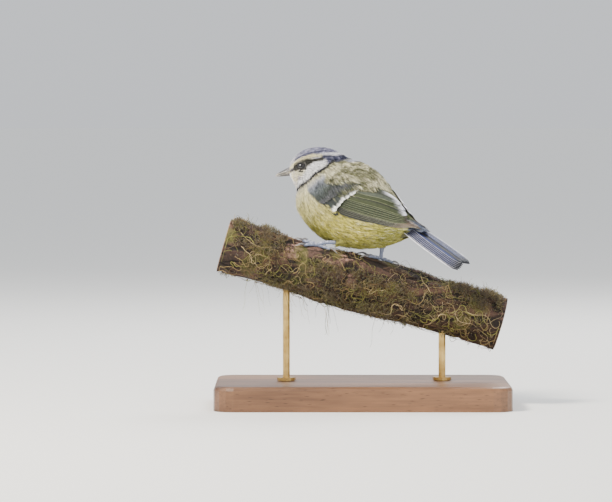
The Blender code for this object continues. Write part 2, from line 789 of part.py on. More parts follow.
def build():
    """The whole model."""
    clear_scene()
    build_head()
    finish(flesh("neck", HEAD_END, NECK_END, 4, 30))
    torso = flesh("torso", NECK_END, TORSO_END, 13, 30)
    torso["kind"] = "torso"
    finish(flesh("rump", TORSO_END, RUMP_END, 6, 28))
    build_feathers()
    branch = build_branch()
    shape = bmesh.new()
    shape.from_mesh(branch.data)
    bmesh.ops.scale(shape, vec=(1 / MM, 1 / MM, 1 / MM), verts=shape.verts)
    tree = BVHTree.FromBMesh(shape)
    shape.free()
    build_thigh("left", torso, (-5.0, -5.6, 76.5), (-11.4, -6.2, 73.6), (3.6, 1.7))
    build_thigh("right", torso, (7.6, -3.6, 77.0), (8.8, -1.4, 69.8), (3.0, 1.7))
    finish(torso)
    left_toes = ((8, 8.5, 8), (-22, 8.0, -6), (38, 7.5, 8), (195, 7.0, 10))
    right_toes = ((6, 8.5, 6), (-24, 7.8, -8), (34, 7.4, 8), (184, 6.6, 6))
    build_leg("left", tree, (-12.1, -6.3, 73.4), (-20.2, -5.2), left_toes)
    build_leg("right", tree, (8.8, -1.3, 69.4), (8.2, -0.6), right_toes)
    build_moss()
    build_stand(branch)


build()
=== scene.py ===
# %% [markdown]
# # A blue tit on a mossy perch
#
# This lesson dresses a plain solid model of a small bird. The solids give the places and the sizes.
# Here the flesh gets one skin, the skin gets a few thousand feathers, and the branch gets its bark,
# its moss and its rootlets. Everything is in the frame of the solids: metres, Z up, with the bird
# facing -X and its left side towards -Y. The helpers below work in millimetres and scale at the end.

# %% Load the solids
import json
import math
from types import SimpleNamespace

import bpy
import numpy as np
from mathutils import Matrix, Vector
from mathutils.bvhtree import BVHTree
from mathutils.kdtree import KDTree

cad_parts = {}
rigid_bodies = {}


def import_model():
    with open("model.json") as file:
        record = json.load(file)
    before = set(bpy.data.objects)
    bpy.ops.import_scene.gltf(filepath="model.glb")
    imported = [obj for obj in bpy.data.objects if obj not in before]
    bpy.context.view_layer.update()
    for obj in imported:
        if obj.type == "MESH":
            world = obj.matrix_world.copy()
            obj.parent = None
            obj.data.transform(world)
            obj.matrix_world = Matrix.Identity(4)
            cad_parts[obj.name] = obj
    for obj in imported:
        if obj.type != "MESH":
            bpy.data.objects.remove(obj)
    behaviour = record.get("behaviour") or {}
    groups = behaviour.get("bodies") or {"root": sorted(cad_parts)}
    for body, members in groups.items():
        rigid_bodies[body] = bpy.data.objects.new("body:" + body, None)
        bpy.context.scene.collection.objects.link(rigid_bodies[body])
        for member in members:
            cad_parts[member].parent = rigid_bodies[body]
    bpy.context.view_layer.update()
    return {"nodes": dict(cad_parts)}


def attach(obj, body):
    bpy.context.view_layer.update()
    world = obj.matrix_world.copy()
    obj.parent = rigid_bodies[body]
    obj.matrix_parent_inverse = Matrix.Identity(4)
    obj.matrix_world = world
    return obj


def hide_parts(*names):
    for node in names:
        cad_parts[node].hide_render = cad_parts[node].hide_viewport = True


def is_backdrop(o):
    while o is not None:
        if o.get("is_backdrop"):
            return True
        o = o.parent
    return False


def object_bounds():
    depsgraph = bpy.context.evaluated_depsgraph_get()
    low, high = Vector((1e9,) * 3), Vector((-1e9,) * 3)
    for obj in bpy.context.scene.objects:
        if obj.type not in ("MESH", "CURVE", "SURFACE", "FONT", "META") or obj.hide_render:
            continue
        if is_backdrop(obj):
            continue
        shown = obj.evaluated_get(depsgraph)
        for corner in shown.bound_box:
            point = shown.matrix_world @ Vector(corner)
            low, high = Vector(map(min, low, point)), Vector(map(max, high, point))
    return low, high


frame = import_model()
MM = 0.001
print("solids loaded:", len(frame["nodes"]), "nodes")

# %% [markdown]
# ## The camera
#
# The photograph was taken with a long lens, level with the bird, so its lines hardly converge. A
# long lens far away gives the same look. Its place follows from the photograph's scale: one pixel
# is 0.45 mm at the bird, and the picture is 612 pixels wide.

# %% Camera
PIXEL = 0.45
PICTURE_WIDTH = 612
VIEW_MIDDLE = Vector((-25.2, 3.0, 69.3))
VIEW_TILT = math.radians(2.0)
LENS = 220.0
SENSOR = 36.0
view_distance = PICTURE_WIDTH * PIXEL * LENS / SENSOR

camera = bpy.data.objects.new("camera", bpy.data.cameras.new("camera"))
bpy.context.scene.collection.objects.link(camera)
camera.data.lens = LENS
camera.data.sensor_width = SENSOR
camera.data.clip_start = 0.05
camera.data.clip_end = 200.0
away = Vector((0.0, -math.cos(VIEW_TILT), math.sin(VIEW_TILT)))
camera.location = (VIEW_MIDDLE + away * view_distance) * MM
camera.rotation_euler = (math.radians(90.0) - VIEW_TILT, 0.0, 0.0)
bpy.context.scene.camera = camera
print(f"camera {view_distance:.0f} mm from the bird")

# %% [markdown]
# ## Colours, nodes and meshes
#
# Some small helpers serve the whole lesson. The first turn hex colours into the linear numbers that
# Blender computes with. The others build materials, whose patterns are given by their real size in
# millimetres, so that each can be checked against the real thing.


# %% Shader helpers
def linear(colour):
    """An sRGB hex colour as three linear numbers."""
    parts = np.array([int(colour[i : i + 2], 16) / 255.0 for i in (1, 3, 5)])
    return np.where(parts <= 0.04045, parts / 12.92, ((parts + 0.055) / 1.055) ** 2.4)


def palette(**codes):
    """Colours by name, from their hex codes."""
    return SimpleNamespace(**{name: linear(code) for name, code in codes.items()})


def add_node(tree, kind, inputs=None, **settings):
    """Add a node, set its properties, and give its inputs values or other nodes' outputs."""
    made = tree.nodes.new(kind)
    for name, value in settings.items():
        setattr(made, name, value)
    for name, value in (inputs or {}).items():
        if isinstance(value, bpy.types.NodeSocket):
            tree.links.new(value, made.inputs[name])
        else:
            made.inputs[name].default_value = value
    return made


def start_material(name, roughness, **constants):
    """A material with one Principled shader, whose constants go on its own sockets."""
    made = bpy.data.materials.new(name)
    made.use_nodes = True
    shader = made.node_tree.nodes["Principled BSDF"]
    shader.inputs["Roughness"].default_value = roughness
    for socket, value in constants.items():
        shader.inputs[socket.replace("_", " ")].default_value = value
    return made, made.node_tree, shader


def object_spots(tree, stretch=None):
    """The object's own coordinates in metres, stretched along some axes."""
    spots = add_node(tree, "ShaderNodeTexCoord").outputs["Object"]
    if stretch is None:
        return spots
    return add_node(tree, "ShaderNodeMapping", {"Vector": spots, "Scale": stretch}).outputs["Vector"]


def add_math(tree, operation, *values):
    """The result of one sum on values or other nodes' outputs."""
    return add_node(tree, "ShaderNodeMath", dict(enumerate(values)), operation=operation).outputs[0]


def add_noise(tree, spots, scale, detail=2.0, distortion=0.0):
    """Cloudy noise. A scale of 1000 gives clouds about 1 mm across."""
    inputs = {"Vector": spots, "Scale": scale, "Detail": detail, "Distortion": distortion}
    return add_node(tree, "ShaderNodeTexNoise", inputs).outputs["Fac"]


def add_cells(tree, spots, scale):
    """Distances to the middles of scattered cells."""
    return add_node(tree, "ShaderNodeTexVoronoi", {"Vector": spots, "Scale": scale}).outputs["Distance"]


def add_range(tree, value, low, high, least, most):
    """A value from low to high, drawn out to run from least to most."""
    inputs = {"Value": value, "From Min": low, "From Max": high, "To Min": least, "To Max": most}
    return add_node(tree, "ShaderNodeMapRange", inputs).outputs["Result"]


def add_shades(tree, value, first, second, start=0.0, end=1.0):
    """A colour that runs from one to another while a value goes from start to end."""
    made = add_node(tree, "ShaderNodeValToRGB", {"Fac": value})
    for element, code, position in zip(made.color_ramp.elements, (first, second), (start, end)):
        element.position = position
        element.color = (*linear(code), 1.0)
    return made.outputs["Color"]


def use_tint(tree, shader, factor):
    """Colour the shader with the mesh's own colours times a factor."""
    tint = add_node(tree, "ShaderNodeAttribute", attribute_name="tint").outputs["Color"]
    scaled = add_node(tree, "ShaderNodeVectorMath", {0: tint, "Scale": factor}, operation="SCALE")
    tree.links.new(scaled.outputs["Vector"], shader.inputs["Base Color"])


def use_relief(tree, shader, height, strength, depth_mm):
    """Give the shader a relief of a depth in millimetres."""
    inputs = {"Height": height, "Strength": strength, "Distance": depth_mm * MM}
    tree.links.new(add_node(tree, "ShaderNodeBump", inputs).outputs["Normal"], shader.inputs["Normal"])


def tinted_material(name, roughness, size_mm, contrast, relief_mm, strength=0.6, detail=5.0, **more):
    """Colours of the mesh with a fine mottle and relief of one size."""
    made, tree, shader = start_material(name, roughness, **more)
    grain = add_noise(tree, object_spots(tree), 1.0 / (size_mm * MM), detail)
    use_tint(tree, shader, add_range(tree, grain, 0.3, 0.7, 1.0 - contrast, 1.0 + contrast))
    use_relief(tree, shader, grain, strength, relief_mm)
    return made


print("white is", linear("#ffffff"))

# %% [markdown]
# ### Meshes, noise and ramps
#
# A mesh can take arrays of points and triangles at once, which is far quicker than adding faces one
# at a time. Noise is computed here as well as in shaders, since it also has to move points.


# %% Mesh helpers
def add_piece(name, points, faces, material, tint=None, maps=None):
    """A mesh object from points in millimetres and triangles, with colours and texture maps."""
    mesh = bpy.data.meshes.new(name)
    mesh.vertices.add(len(points))
    mesh.vertices.foreach_set("co", (np.asarray(points) * MM).astype(np.float32).ravel())
    mesh.loops.add(faces.size)
    mesh.loops.foreach_set("vertex_index", faces.astype(np.int32).ravel())
    mesh.polygons.add(len(faces))
    mesh.polygons.foreach_set("loop_start", np.arange(len(faces), dtype=np.int32) * 3)
    mesh.update(calc_edges=True)
    mesh.validate()
    mesh.shade_smooth()
    if tint is not None:
        colours = np.ones((len(points), 4), dtype=np.float32)
        colours[:, :3] = np.clip(tint, 0.0, 1.0)
        layer = mesh.attributes.new("tint", "FLOAT_COLOR", "POINT")
        layer.data.foreach_set("color", colours.ravel())
    for title, values in (maps or {}).items():
        layer = mesh.uv_layers.new(name=title)
        if len(values) == len(points):
            values = values[faces.ravel()]
        layer.data.foreach_set("uv", values.astype(np.float32).ravel())
    mesh.materials.append(material)
    made = bpy.data.objects.new(name, mesh)
    bpy.context.scene.collection.objects.link(made)
    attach(made, "root")
    return made


HASH = np.array([73856093, 19349663, 83492791], dtype=np.int64)
CORNERS = np.array([[(k >> axis) & 1 for axis in range(3)] for k in range(8)])


def noise(points, size, seed=0):
    """Smooth noise from -1 to 1 at points in millimetres, changing over about one size."""
    place = np.asarray(points) / size + seed * 17.31
    cell = np.floor(place).astype(np.int64)
    part = place - cell
    part = part * part * (3.0 - 2.0 * part)
    total = np.zeros(place.shape[:-1])
    for corner in CORNERS:
        weight = np.prod(np.where(corner, part, 1.0 - part), axis=-1)
        key = ((cell + corner) * HASH).sum(axis=-1)
        key = (key ^ (key >> 13)) * 1274126177
        total += weight * (((key ^ (key >> 16)) & 0xFFFF) / 32767.5 - 1.0)
    return total


def ramp(low, high, value):
    """0 below low, 1 above high, and a soft rise between them."""
    part = np.clip((np.asarray(value, dtype=float) - low) / (high - low), 0.0, 1.0)
    return part * part * (3.0 - 2.0 * part)


def blend(first, second, share):
    """Mix two colours, given as numbers or hex codes, or two lists of them, by a share from 0 to 1."""
    first, second = (linear(c) if isinstance(c, str) else np.asarray(c) for c in (first, second))
    share = np.asarray(share)[..., None]
    return first * (1.0 - share) + second * share


def layered(colour, *layers):
    """A colour with others laid over it in turn, each by its own share."""
    for over, share in layers:
        colour = blend(colour, over, share)
    return colour


def even_steps(count):
    """Even steps from 0 to 1."""
    return np.linspace(0.0, 1.0, count)


def full_turn(count):
    """Even steps round a circle, in radians, without the last one, which is the first again."""
    return 2.0 * np.pi * np.arange(count) / count


print("half way up a ramp:", ramp(0.0, 2.0, 1.0))

# %% [markdown]
# ## The form of the body
#
# A bird's outline is one smooth form from the bill to the tail. It is described by sections, each
# with a point on the back, a point below, a half width and a turn. A place along the body (0 at the
# face, 15 at the root of the tail) and an angle round it (0 on the back, 180 below, positive on the
# bird's left) then name any point of the skin. Feathers, colours and texture maps all use these two
# numbers, which is why they always agree.

# %% Sections
BODY_YAW = 28.0
HEAD_YAW = 5.0
BODY_Y = -3.0
NECK_X = -18.0
SECTIONS = [
    # back x and z, underside x and z, half width, how far down it is widest, yaw
    (-32.6, 106.1, -32.4, 103.0, 1.9, 0.50, 5.0),  # 0 face
    (-31.9, 109.3, -31.5, 101.5, 4.1, 0.55, 5.0),  # 1 forehead and chin
    (-29.2, 112.9, -30.6, 99.4, 6.5, 0.56, 5.0),  # 2 in front of the eye
    (-25.2, 115.2, -29.8, 97.7, 8.0, 0.56, 5.0),  # 3 behind the eye
    (-19.8, 116.2, -29.5, 96.4, 8.7, 0.55, 7.0),  # 4 crown
    (-14.4, 115.6, -29.6, 95.2, 9.1, 0.54, 11.0),  # 5 hind crown
    (-9.5, 113.6, -29.6, 93.8, 9.5, 0.52, 16.0),  # 6 nape
    (-5.8, 111.1, -29.4, 92.0, 10.4, 0.50, 21.0),  # 7 neck
    (-0.2, 109.3, -28.8, 89.4, 12.3, 0.50, 26.0),  # 8 shoulders
    (4.0, 106.9, -27.2, 85.9, 13.9, 0.52, 28.0),  # 9 breast
    (8.5, 103.0, -23.4, 80.5, 14.6, 0.54, 28.0),  # 10 back
    (12.1, 98.6, -16.6, 74.6, 14.3, 0.55, 28.0),  # 11 belly
    (15.6, 93.8, -6.8, 70.9, 13.1, 0.55, 28.0),  # 12 lower belly
    (19.2, 88.8, 4.4, 70.5, 11.0, 0.52, 28.0),  # 13 rump
    (22.3, 85.0, 13.4, 72.8, 8.9, 0.50, 28.0),  # 14 tail coverts
    (25.6, 81.8, 20.6, 75.6, 7.4, 0.50, 28.0),  # 15 root of the tail
    (30.6, 77.6, 27.2, 72.8, 6.4, 0.50, 28.0),  # 16 wing tips
]
ROWS = np.array(SECTIONS)
TAIL_ROOT = 15.0


def spline(rows, place):
    """A Catmull-Rom curve through rows, which stand at the whole numbers, at many places."""
    last = len(rows) - 1
    first = np.clip(place.astype(int), 0, last - 1)
    part = (place - first)[..., None]
    before = rows[np.maximum(first - 1, 0)]
    start = rows[first]
    end = rows[first + 1]
    after = rows[np.minimum(first + 2, last)]
    bend = 2.0 * before - 5.0 * start + 4.0 * end - after
    twist = 3.0 * start - before - 3.0 * end + after
    return 0.5 * (2.0 * start + (end - before) * part + bend * part**2 + twist * part**3)


def median_y(x):
    """Where the middle plane lies: the body's line, bent at the neck to the head's."""
    body_slope = math.tan(math.radians(BODY_YAW))
    neck_y = BODY_Y - NECK_X * body_slope
    ahead = neck_y + (NECK_X - x) * math.tan(math.radians(HEAD_YAW))
    return np.where(x < NECK_X, ahead, BODY_Y - x * body_slope)


def section(place):
    """Centres of sections, and their arms to the back, to the underside and to the left."""
    rows = spline(ROWS, np.asarray(place, dtype=float))
    back_x, back_z, under_x, under_z, half, wide, yaw = np.moveaxis(rows, -1, 0)
    turn = np.radians(yaw)
    x = back_x + (under_x - back_x) * wide
    z = back_z + (under_z - back_z) * wide
    centre = np.stack([x, median_y(x), z], -1)
    back = np.stack([back_x - x, (x - back_x) * np.tan(turn), back_z - z], -1)
    under = np.stack([under_x - x, (x - under_x) * np.tan(turn), under_z - z], -1)
    left = np.stack([-np.sin(turn), -np.cos(turn), np.zeros_like(turn)], -1) * half[..., None]
    return centre, back, under, left


def on_body(place, angle, depth=0.0):
    """Points of the outline at places and angles, sunk by a depth."""
    values = [np.asarray(value, dtype=float) for value in (place, angle, depth)]
    place, angle, depth = np.broadcast_arrays(*values)
    centre, back, under, left = section(place)
    turn = np.radians(angle)[..., None]
    rise = np.where(np.cos(turn) >= 0.0, back, -under)
    arm = rise * np.cos(turn) + left * np.sin(turn)
    length = np.linalg.norm(arm, axis=-1, keepdims=True)
    short = depth[..., None] * np.minimum(1.0, length / 9.0)
    return centre + arm * (1.0 - short / length)


def unit(vectors):
    """Vectors scaled to a length of 1."""
    return vectors / np.maximum(np.linalg.norm(vectors, axis=-1, keepdims=True), 1e-9)


def body_normal(place, angle):
    """Outward directions of the outline."""
    along = on_body(place + 0.02, angle) - on_body(place - 0.02, angle)
    around = on_body(place, angle + 1.0) - on_body(place, angle - 1.0)
    return -unit(np.cross(along, around))


def growth(place, angle):
    """Millimetres along the body for one place, and round it for one degree."""
    along = on_body(place + 0.05, angle) - on_body(place - 0.05, angle)
    around = on_body(place, angle + 1.0) - on_body(place, angle - 1.0)
    return np.linalg.norm(along, axis=-1) / 0.1, np.linalg.norm(around, axis=-1) / 2.0


print("top of the crown at", on_body(4.0, 0.0).round(1), "mm")

# %% [markdown]
# ### The folded wing's outline
#
# A folded wing is a shallow shell on the side of the body. No thick feathers grow under it, so the
# skin sinks there, and the wing's feathers lie where the flank would bulge.

# %% Wing outline
# Places and angles on the body: the wing's lower edge and its upper one
WING_LOW = (
    (6.6, 108), (8.05, 107), (8.93, 103), (9.45, 99), (10.0, 94.5), (10.5, 92), (11.28, 84),
    (11.75, 79), (12.28, 74), (12.88, 72), (14.33, 70), (15.33, 60), (16.0, 50),
)
WING_HIGH = (
    (6.8, 74), (7.6, 75), (8.6, 82), (9.3, 74), (9.8, 58), (10.3, 36), (10.9, 27), (11.2, 16),
    (11.6, 10), (12.6, 8), (13.2, 14), (14.0, 28), (15.0, 40), (16.0, 40),
)
WING_START = 6.9
BED_DEPTH = 1.7
RUMP_DROP = 1.8


def wing_edges(place):
    """Angles of the folded wing's lower and upper edge at places."""
    return [np.interp(place, *np.array(line, dtype=float).T) for line in (WING_LOW, WING_HIGH)]


def wing_cover(place, angle, margin=0.0, soft=8.0):
    """How surely points lie under the folded wing, from 0 to 1, inside a margin in degrees."""
    low, high = wing_edges(place)
    around = np.abs(angle)
    inside = np.minimum(low - around, around - high) - margin
    return ramp(0.0, soft, inside) * ramp(WING_START, WING_START + 1.2, place)


def wing_bed(place, angle):
    """How deep the skin lies under a folded wing, and between the wings on the rump."""
    high = wing_edges(place)[1]
    rear = ramp(11.0, 12.4, place) * (1.0 - 0.6 * ramp(13.0, 14.6, place))
    middle = RUMP_DROP * rear * (1.0 - ramp(0.0, 20.0, np.abs(angle) - high))
    return np.maximum(BED_DEPTH * wing_cover(place, angle, 2.0), middle)


form_places, form_angles = np.linspace(0.0, 16.0, 200), np.linspace(-180.0, 180.0, 181)
places, angles = np.meshgrid(form_places, form_angles, indexing="ij")
form_points = on_body(places, angles)
form_low, form_high = form_points.min(axis=(0, 1)), form_points.max(axis=(0, 1))
print("outline from", form_low.round(1), "to", form_high.round(1))

# %% [markdown]
# ## The markings
#
# A bird's pattern belongs to its feathers, and each kind of bird draws it with the same strokes: a
# cap, a brow, a stripe through the eye, a band behind the cheek. So the pattern is written as
# strokes of a given width through named places, and as soft regions. One function then answers for
# the skin and for every feather. A painted image would do the same, but it could not be changed by
# moving a stroke, and it would tie the pattern to one texture map.

# %% Plumage colours
INK = palette(
    # head
    crown="#9c9cb6", crown_dark="#4f516c", forehead="#d3d1d8", brow="#e9dfae", headband="#eeeef3",
    stripe="#25241b", lore="#4b474c", nape="#30344f", nape_spot="#c3c6d2", cheek="#e6dfc0",
    lilac="#b3aabd", white="#fbfafb", collar="#191a24",
    # underparts; the belly's olive is partly the bird's own colour and partly painted shade of the
    # underside
    throat="#efe9cd", breast="#eae3b0", flank="#cfc55c", belly="#928d36", vent="#a9a64c",
    # back, small coverts and rump
    mantle="#dcd6b2", olive="#565a2e", shoulder="#a7abba", slate="#5f686a", slate_dark="#3a423f",
    rump="#8a8f62", rump_blue="#5c6477", down="#4f504c",
)

# Strokes of the left side, as places and angles on the body. The right side mirrors them.
BROW = [(0.9, 62), (1.8, 61), (2.65, 57), (4.05, 49), (5.0, 45)]
BROW_LINE = [(2.0, 65), (2.9, 62.5), (3.8, 58.5)]
LORE = [(0.8, 86), (1.6, 83.5), (2.5, 79)]
HEADBAND = [(5.0, 45), (5.6, 33), (6.0, 20), (6.15, 0)]
STRIPE = [(2.4, 79), (3.1, 76), (4.2, 66), (4.9, 59), (5.5, 52)]
NAPE_PATCH = [(5.6, 48), (6.2, 40), (6.75, 30), (6.9, 12), (6.95, 0)]
CROWN_LINE = [(2.1, 46), (3.3, 42), (4.4, 36), (5.1, 22)]
COLLAR = [(6.55, 42), (6.62, 52), (6.78, 63), (6.55, 80), (6.75, 100), (6.3, 125), (5.6, 148)]
CHEEK_BAND = [(5.75, 56), (5.95, 68), (5.65, 84), (5.75, 104), (5.2, 124)]
NAPE_SPOT = [(7.6, 0), (7.55, 12)]


print("inks named:", len(vars(INK)))

# %% [markdown]
# ### The colour of any feather
#
# One function answers for every place and angle. It lays colours over each other as a painter
# would: the large regions of the body and the head first, and the fine dark strokes last.


# %% Plumage
def stroke(place, angle, line, width, soft=0.5):
    """How strongly a stroke of a given width in millimetres covers points of the body."""
    points = on_body(place, np.abs(angle))
    knots = on_body(*np.array(line, dtype=float).T)
    nearest = np.full(points.shape[:-1], 1e9)
    for start, end in zip(knots, knots[1:]):
        way = end - start
        share = np.clip(((points - start) @ way) / (way @ way), 0.0, 1.0)
        apart = np.linalg.norm(points - start - share[..., None] * way, axis=-1)
        nearest = np.minimum(nearest, apart)
    return 1.0 - ramp(0.5 * (width - soft), 0.5 * (width + soft), nearest)


def small_coverts(place, points):
    """Colours of the small coverts: lavender at the bend of the wing, and dark slate behind it."""
    patchy = noise(points, 1.5, 8)
    return layered(
        INK.shoulder,
        (INK.slate, ramp(7.5, 8.9, place + 0.3 * patchy)),
        (INK.slate_dark, ramp(8.8, 9.5, place + 0.2 * patchy)),
        (INK.olive, 0.3 * ramp(0.1, 0.8, noise(points, 2.4, 9))),
        (INK.lilac, 0.12 * (ramp(9.55, 9.75, place) * (1.0 - ramp(9.9, 10.0, place)))),
    )


def plumage(place, angle):
    """The colour of the tips of the feathers at places and angles."""
    around = np.abs(angle)
    points = on_body(place, around)
    mottle = noise(points, 1.3, 1)
    broad = noise(points, 4.0, 2)
    streak = noise(points * [0.7, 1.4, 2.2], 1.0, 3)

    # Back, wing coverts, flanks and underparts behind the collar
    # The belly's darker olive on the underside is partly the bird's own colour and partly painted shade.
    belly = ramp(112.0, 146.0, around + 8.0 * broad) * ramp(8.8, 10.8, place)
    below = layered(
        INK.throat,
        (INK.breast, ramp(6.8, 8.6, place)),
        (INK.flank, ramp(8.6, 11.2, place + 0.5 * broad)),
        (INK.belly, 0.9 * belly),
        (INK.vent, ramp(12.6, 13.8, place)),
        (INK.throat, 0.45 * ramp(0.1, 0.7, streak) * (1.0 - 0.6 * belly)),
        (INK.olive, 0.3 * ramp(0.15, 0.8, -streak)),
    )
    flank_edge = np.where(place < 10.0, 82.0, np.minimum(82.0, wing_edges(place)[0] - 12.0))
    olive_patch = ramp(8.2, 9.2, place) * (1.0 - ramp(10.4, 11.2, place)) * ramp(22.0, 44.0, around)
    wing = wing_cover(place, around, -4.0, 3.0) * ramp(6.7, 7.0, place)
    colour = layered(
        INK.mantle,
        (INK.olive, 0.8 * ramp(-0.4, 0.4, streak + 0.8 * broad)),
        (INK.olive, 0.75 * olive_patch * ramp(-0.6, 0.3, streak)),
        (blend(INK.rump, INK.rump_blue, ramp(13.8, 14.8, place)), ramp(12.4, 13.6, place)),
        (below, ramp(0.0, 16.0, around - flank_edge + 5.0 * mottle)),
        (small_coverts(place, points), wing * (1.0 - ramp(10.0, 10.4, place))),
    )

    # Head: cap and cheeks
    cap = layered(
        INK.crown,
        (INK.crown_dark, 0.75 * ramp(-0.1, 0.6, streak)),
        (INK.forehead, 0.5 * ramp(0.1, 0.7, mottle)),
        (INK.forehead, 1.0 - ramp(1.3, 3.0, place + 0.5 * mottle)),
    )
    pale_ends = ramp(4.0, 5.0, place) + 1.0 - ramp(0.9, 1.6, place)
    cheek = layered(
        INK.cheek,
        (INK.lilac, 0.7 * ramp(0.0, 0.6, mottle)),
        (INK.white, np.clip(pale_ends, 0.0, 1.0)),
        (INK.white, 0.6 * ramp(125.0, 150.0, around)),
    )
    head = blend(cap, cheek, ramp(50.0, 60.0, around))

    # The strokes over them, with the stripe and the collar last
    def drawn(line, width, soft):
        return stroke(place, angle, line, width, soft)

    return layered(
        colour,
        (head, 1.0 - ramp(6.3, 6.7, place)),
        (INK.nape_spot, drawn(NAPE_SPOT, 4.0, 2.0)),
        (INK.headband, 0.85 * drawn(HEADBAND, 2.4, 1.2)),
        (blend(INK.nape, INK.crown, 0.5 * ramp(0.2, 0.8, streak)), drawn(NAPE_PATCH, 4.0, 1.2)),
        (INK.crown_dark, 0.9 * drawn(CROWN_LINE, 1.4, 0.8)),
        (INK.brow, drawn(BROW, 1.7, 0.9) * (1.0 - 0.6 * ramp(0.0, 0.5, streak))),
        (INK.white, drawn(CHEEK_BAND, 3.2, 1.2)),
        (INK.lore, drawn(LORE, 1.7, 0.9)),
        (INK.stripe, 0.85 * drawn(BROW_LINE, 0.8, 0.5)),
        (INK.stripe, drawn(STRIPE[:3], 3.3, 0.8)),
        (INK.stripe, drawn(STRIPE[2:], 1.7, 0.7)),
        (INK.collar, drawn(COLLAR, 1.4 + 0.5 * mottle, 0.5)),
    )


print("brow", plumage(np.array([3.0]), np.array([57.0])).round(2))

# %% [markdown]
# ## Feather finish
#
# A feather is keratin: a shaft with two rows of barbs, each a third of a millimetre from the next,
# hooked into a sheet. It is dull, and it glows a little where light grazes it. The colour comes
# from the mesh, and the material adds the grain of the barbs: a fine mottle, a shallow relief and
# some sheen. Body feathers are loose, so their barbs are real geometry and the grain stays faint.


# %% Feather materials
def vane_material(name):
    """Hooked barbs: fine slanting lines on both sides of a shaft, drawn from the vane's own map."""
    barb_pitch = 0.42  # real barbs stand 0.3 mm apart, drawn a little coarser so that they show
    made, tree, shader = start_material(name, 0.55, Sheen_Weight=0.05, Specular_IOR_Level=0.3)
    vane_map = add_node(tree, "ShaderNodeUVMap", uv_map="Vane").outputs["UV"]
    split = add_node(tree, "ShaderNodeSeparateXYZ", {"Vector": vane_map})
    slant = add_math(tree, "MULTIPLY", add_math(tree, "ABSOLUTE", split.outputs["X"]), -1.3)
    along = add_math(tree, "ADD", split.outputs["Y"], slant)
    wave = add_math(tree, "SINE", add_math(tree, "MULTIPLY", along, 2.0 * math.pi / barb_pitch))
    mottle = add_noise(tree, object_spots(tree), 900.0)
    barbs = add_math(tree, "ADD", add_math(tree, "MULTIPLY", wave, 0.10), mottle)
    use_tint(tree, shader, add_math(tree, "ADD", barbs, 0.5))
    use_relief(tree, shader, wave, 0.35, 0.05)
    return made


KERATIN = {"Sheen_Weight": 0.12, "Specular_IOR_Level": 0.3}
# Dull and soft, with a faint glow along the outline where light grazes the barbs
LOOSE_BARBS = tinted_material("loose feather barbs", 0.75, 0.5, 0.18, 0.1, 0.2, 3.0, **KERATIN)
# Matt and woolly, so that a gap between tufts reads as depth
SKIN = tinted_material("down and skin", 0.9, 0.35, 0.3, 0.1, 0.6, 3.0, **KERATIN)
# Smoother than the loose barbs, with fine lines that slant off the shaft
HOOKED_BARBS = vane_material("hooked feather vanes")
print("feather materials:", LOOSE_BARBS.name, "and", HOOKED_BARBS.name)

# %% [markdown]
# ## Skin
#
# Under its feathers a bird is much thinner than it looks. The skin here is one closed surface that
# lies inside the outline by the depth of the coat, and deeper under the wings. It carries the same
# markings, so that a gap between feathers shows the right colour. The thighs are joined to it by a
# union, so that nothing shows a seam.


# %% Coat depths
# Places on the body, and a value in millimetres at each
SPACING = (
    (0.0, 0.45), (1.5, 0.50), (3.0, 0.60), (5.0, 0.66), (6.5, 0.75), (8.0, 0.90), (10.0, 1.05),
    (13.0, 1.1), (15.0, 0.9),
)
COAT_LENGTH = (
    (0.0, 1.3), (1.0, 1.7), (3.0, 2.8), (5.0, 3.2), (6.5, 4.2), (8.0, 6.0), (9.6, 7.2), (12.5, 7.2),
    (13.5, 6.0), (14.4, 4.0),
)
COAT_DEPTH = (
    (0.0, 0.25), (1.5, 0.6), (4.0, 0.9), (6.5, 1.5), (8.0, 2.0), (12.0, 2.2), (14.0, 2.2), (15.0, 3.0),
    (16.0, 3.2),
)


def along_body(place, table):
    """A value read from a short table of places and values."""
    return np.interp(place, *np.array(table).T)


def skin_depth(place, angle):
    """How deep the skin lies below the outline."""
    return along_body(place, COAT_DEPTH) + wing_bed(place, angle)


def grid_faces(rows, columns, closed):
    """Triangles over a grid of points whose rows may be closed rings."""
    faces = []
    for i in range(rows - 1):
        for k in range(columns if closed else columns - 1):
            m = (k + 1) % columns
            low, high = i * columns, (i + 1) * columns
            faces += [(low + k, low + m, high + m), (low + k, high + m, high + k)]
    return faces


def closed_faces(rows, columns):
    """Triangles over closed rings, and a fan at each end to one of the two points after them."""
    faces = grid_faces(rows, columns, True)
    first, last, end = rows * columns, rows * columns + 1, (rows - 1) * columns
    for k in range(columns):
        m = (k + 1) % columns
        faces += [(first, m, k), (last, end + k, end + m)]
    return np.array(faces)


def join_parts(parts):
    """Parts made of points, triangles and any other lists, as one with its triangles renumbered."""
    points, faces, *others = zip(*parts)
    starts = np.cumsum([0] + [len(part) for part in points[:-1]])
    faces = np.concatenate([part + start for part, start in zip(faces, starts)])
    return [np.concatenate(points), faces] + [np.concatenate(lists) for lists in others]


def on_each(values, size):
    """Values of blades, one for every point of each blade."""
    return np.repeat(values.reshape(-1, values.shape[-1]), size, axis=0)


def tube_mesh(points, radii, sides, shape=None):
    """A closed tube along points. Shape gives each ring point's share of the radius."""
    points = np.asarray(points, dtype=float)
    ahead = unit(np.gradient(points, axis=0))
    side = unit(np.cross(ahead, [0.0, 0.0, 1.0]))
    up = np.cross(side, ahead)
    turns = full_turn(sides)
    share = np.ones((len(points), sides)) if shape is None else shape
    reach = np.asarray(radii, dtype=float)[:, None] * share
    rings = points[:, None] + reach[..., None] * (
        side[:, None] * np.cos(turns)[:, None] + up[:, None] * np.sin(turns)[:, None]
    )
    verts = np.concatenate([rings.reshape(-1, 3), points[:1], points[-1:]])
    return verts, closed_faces(len(points), sides)


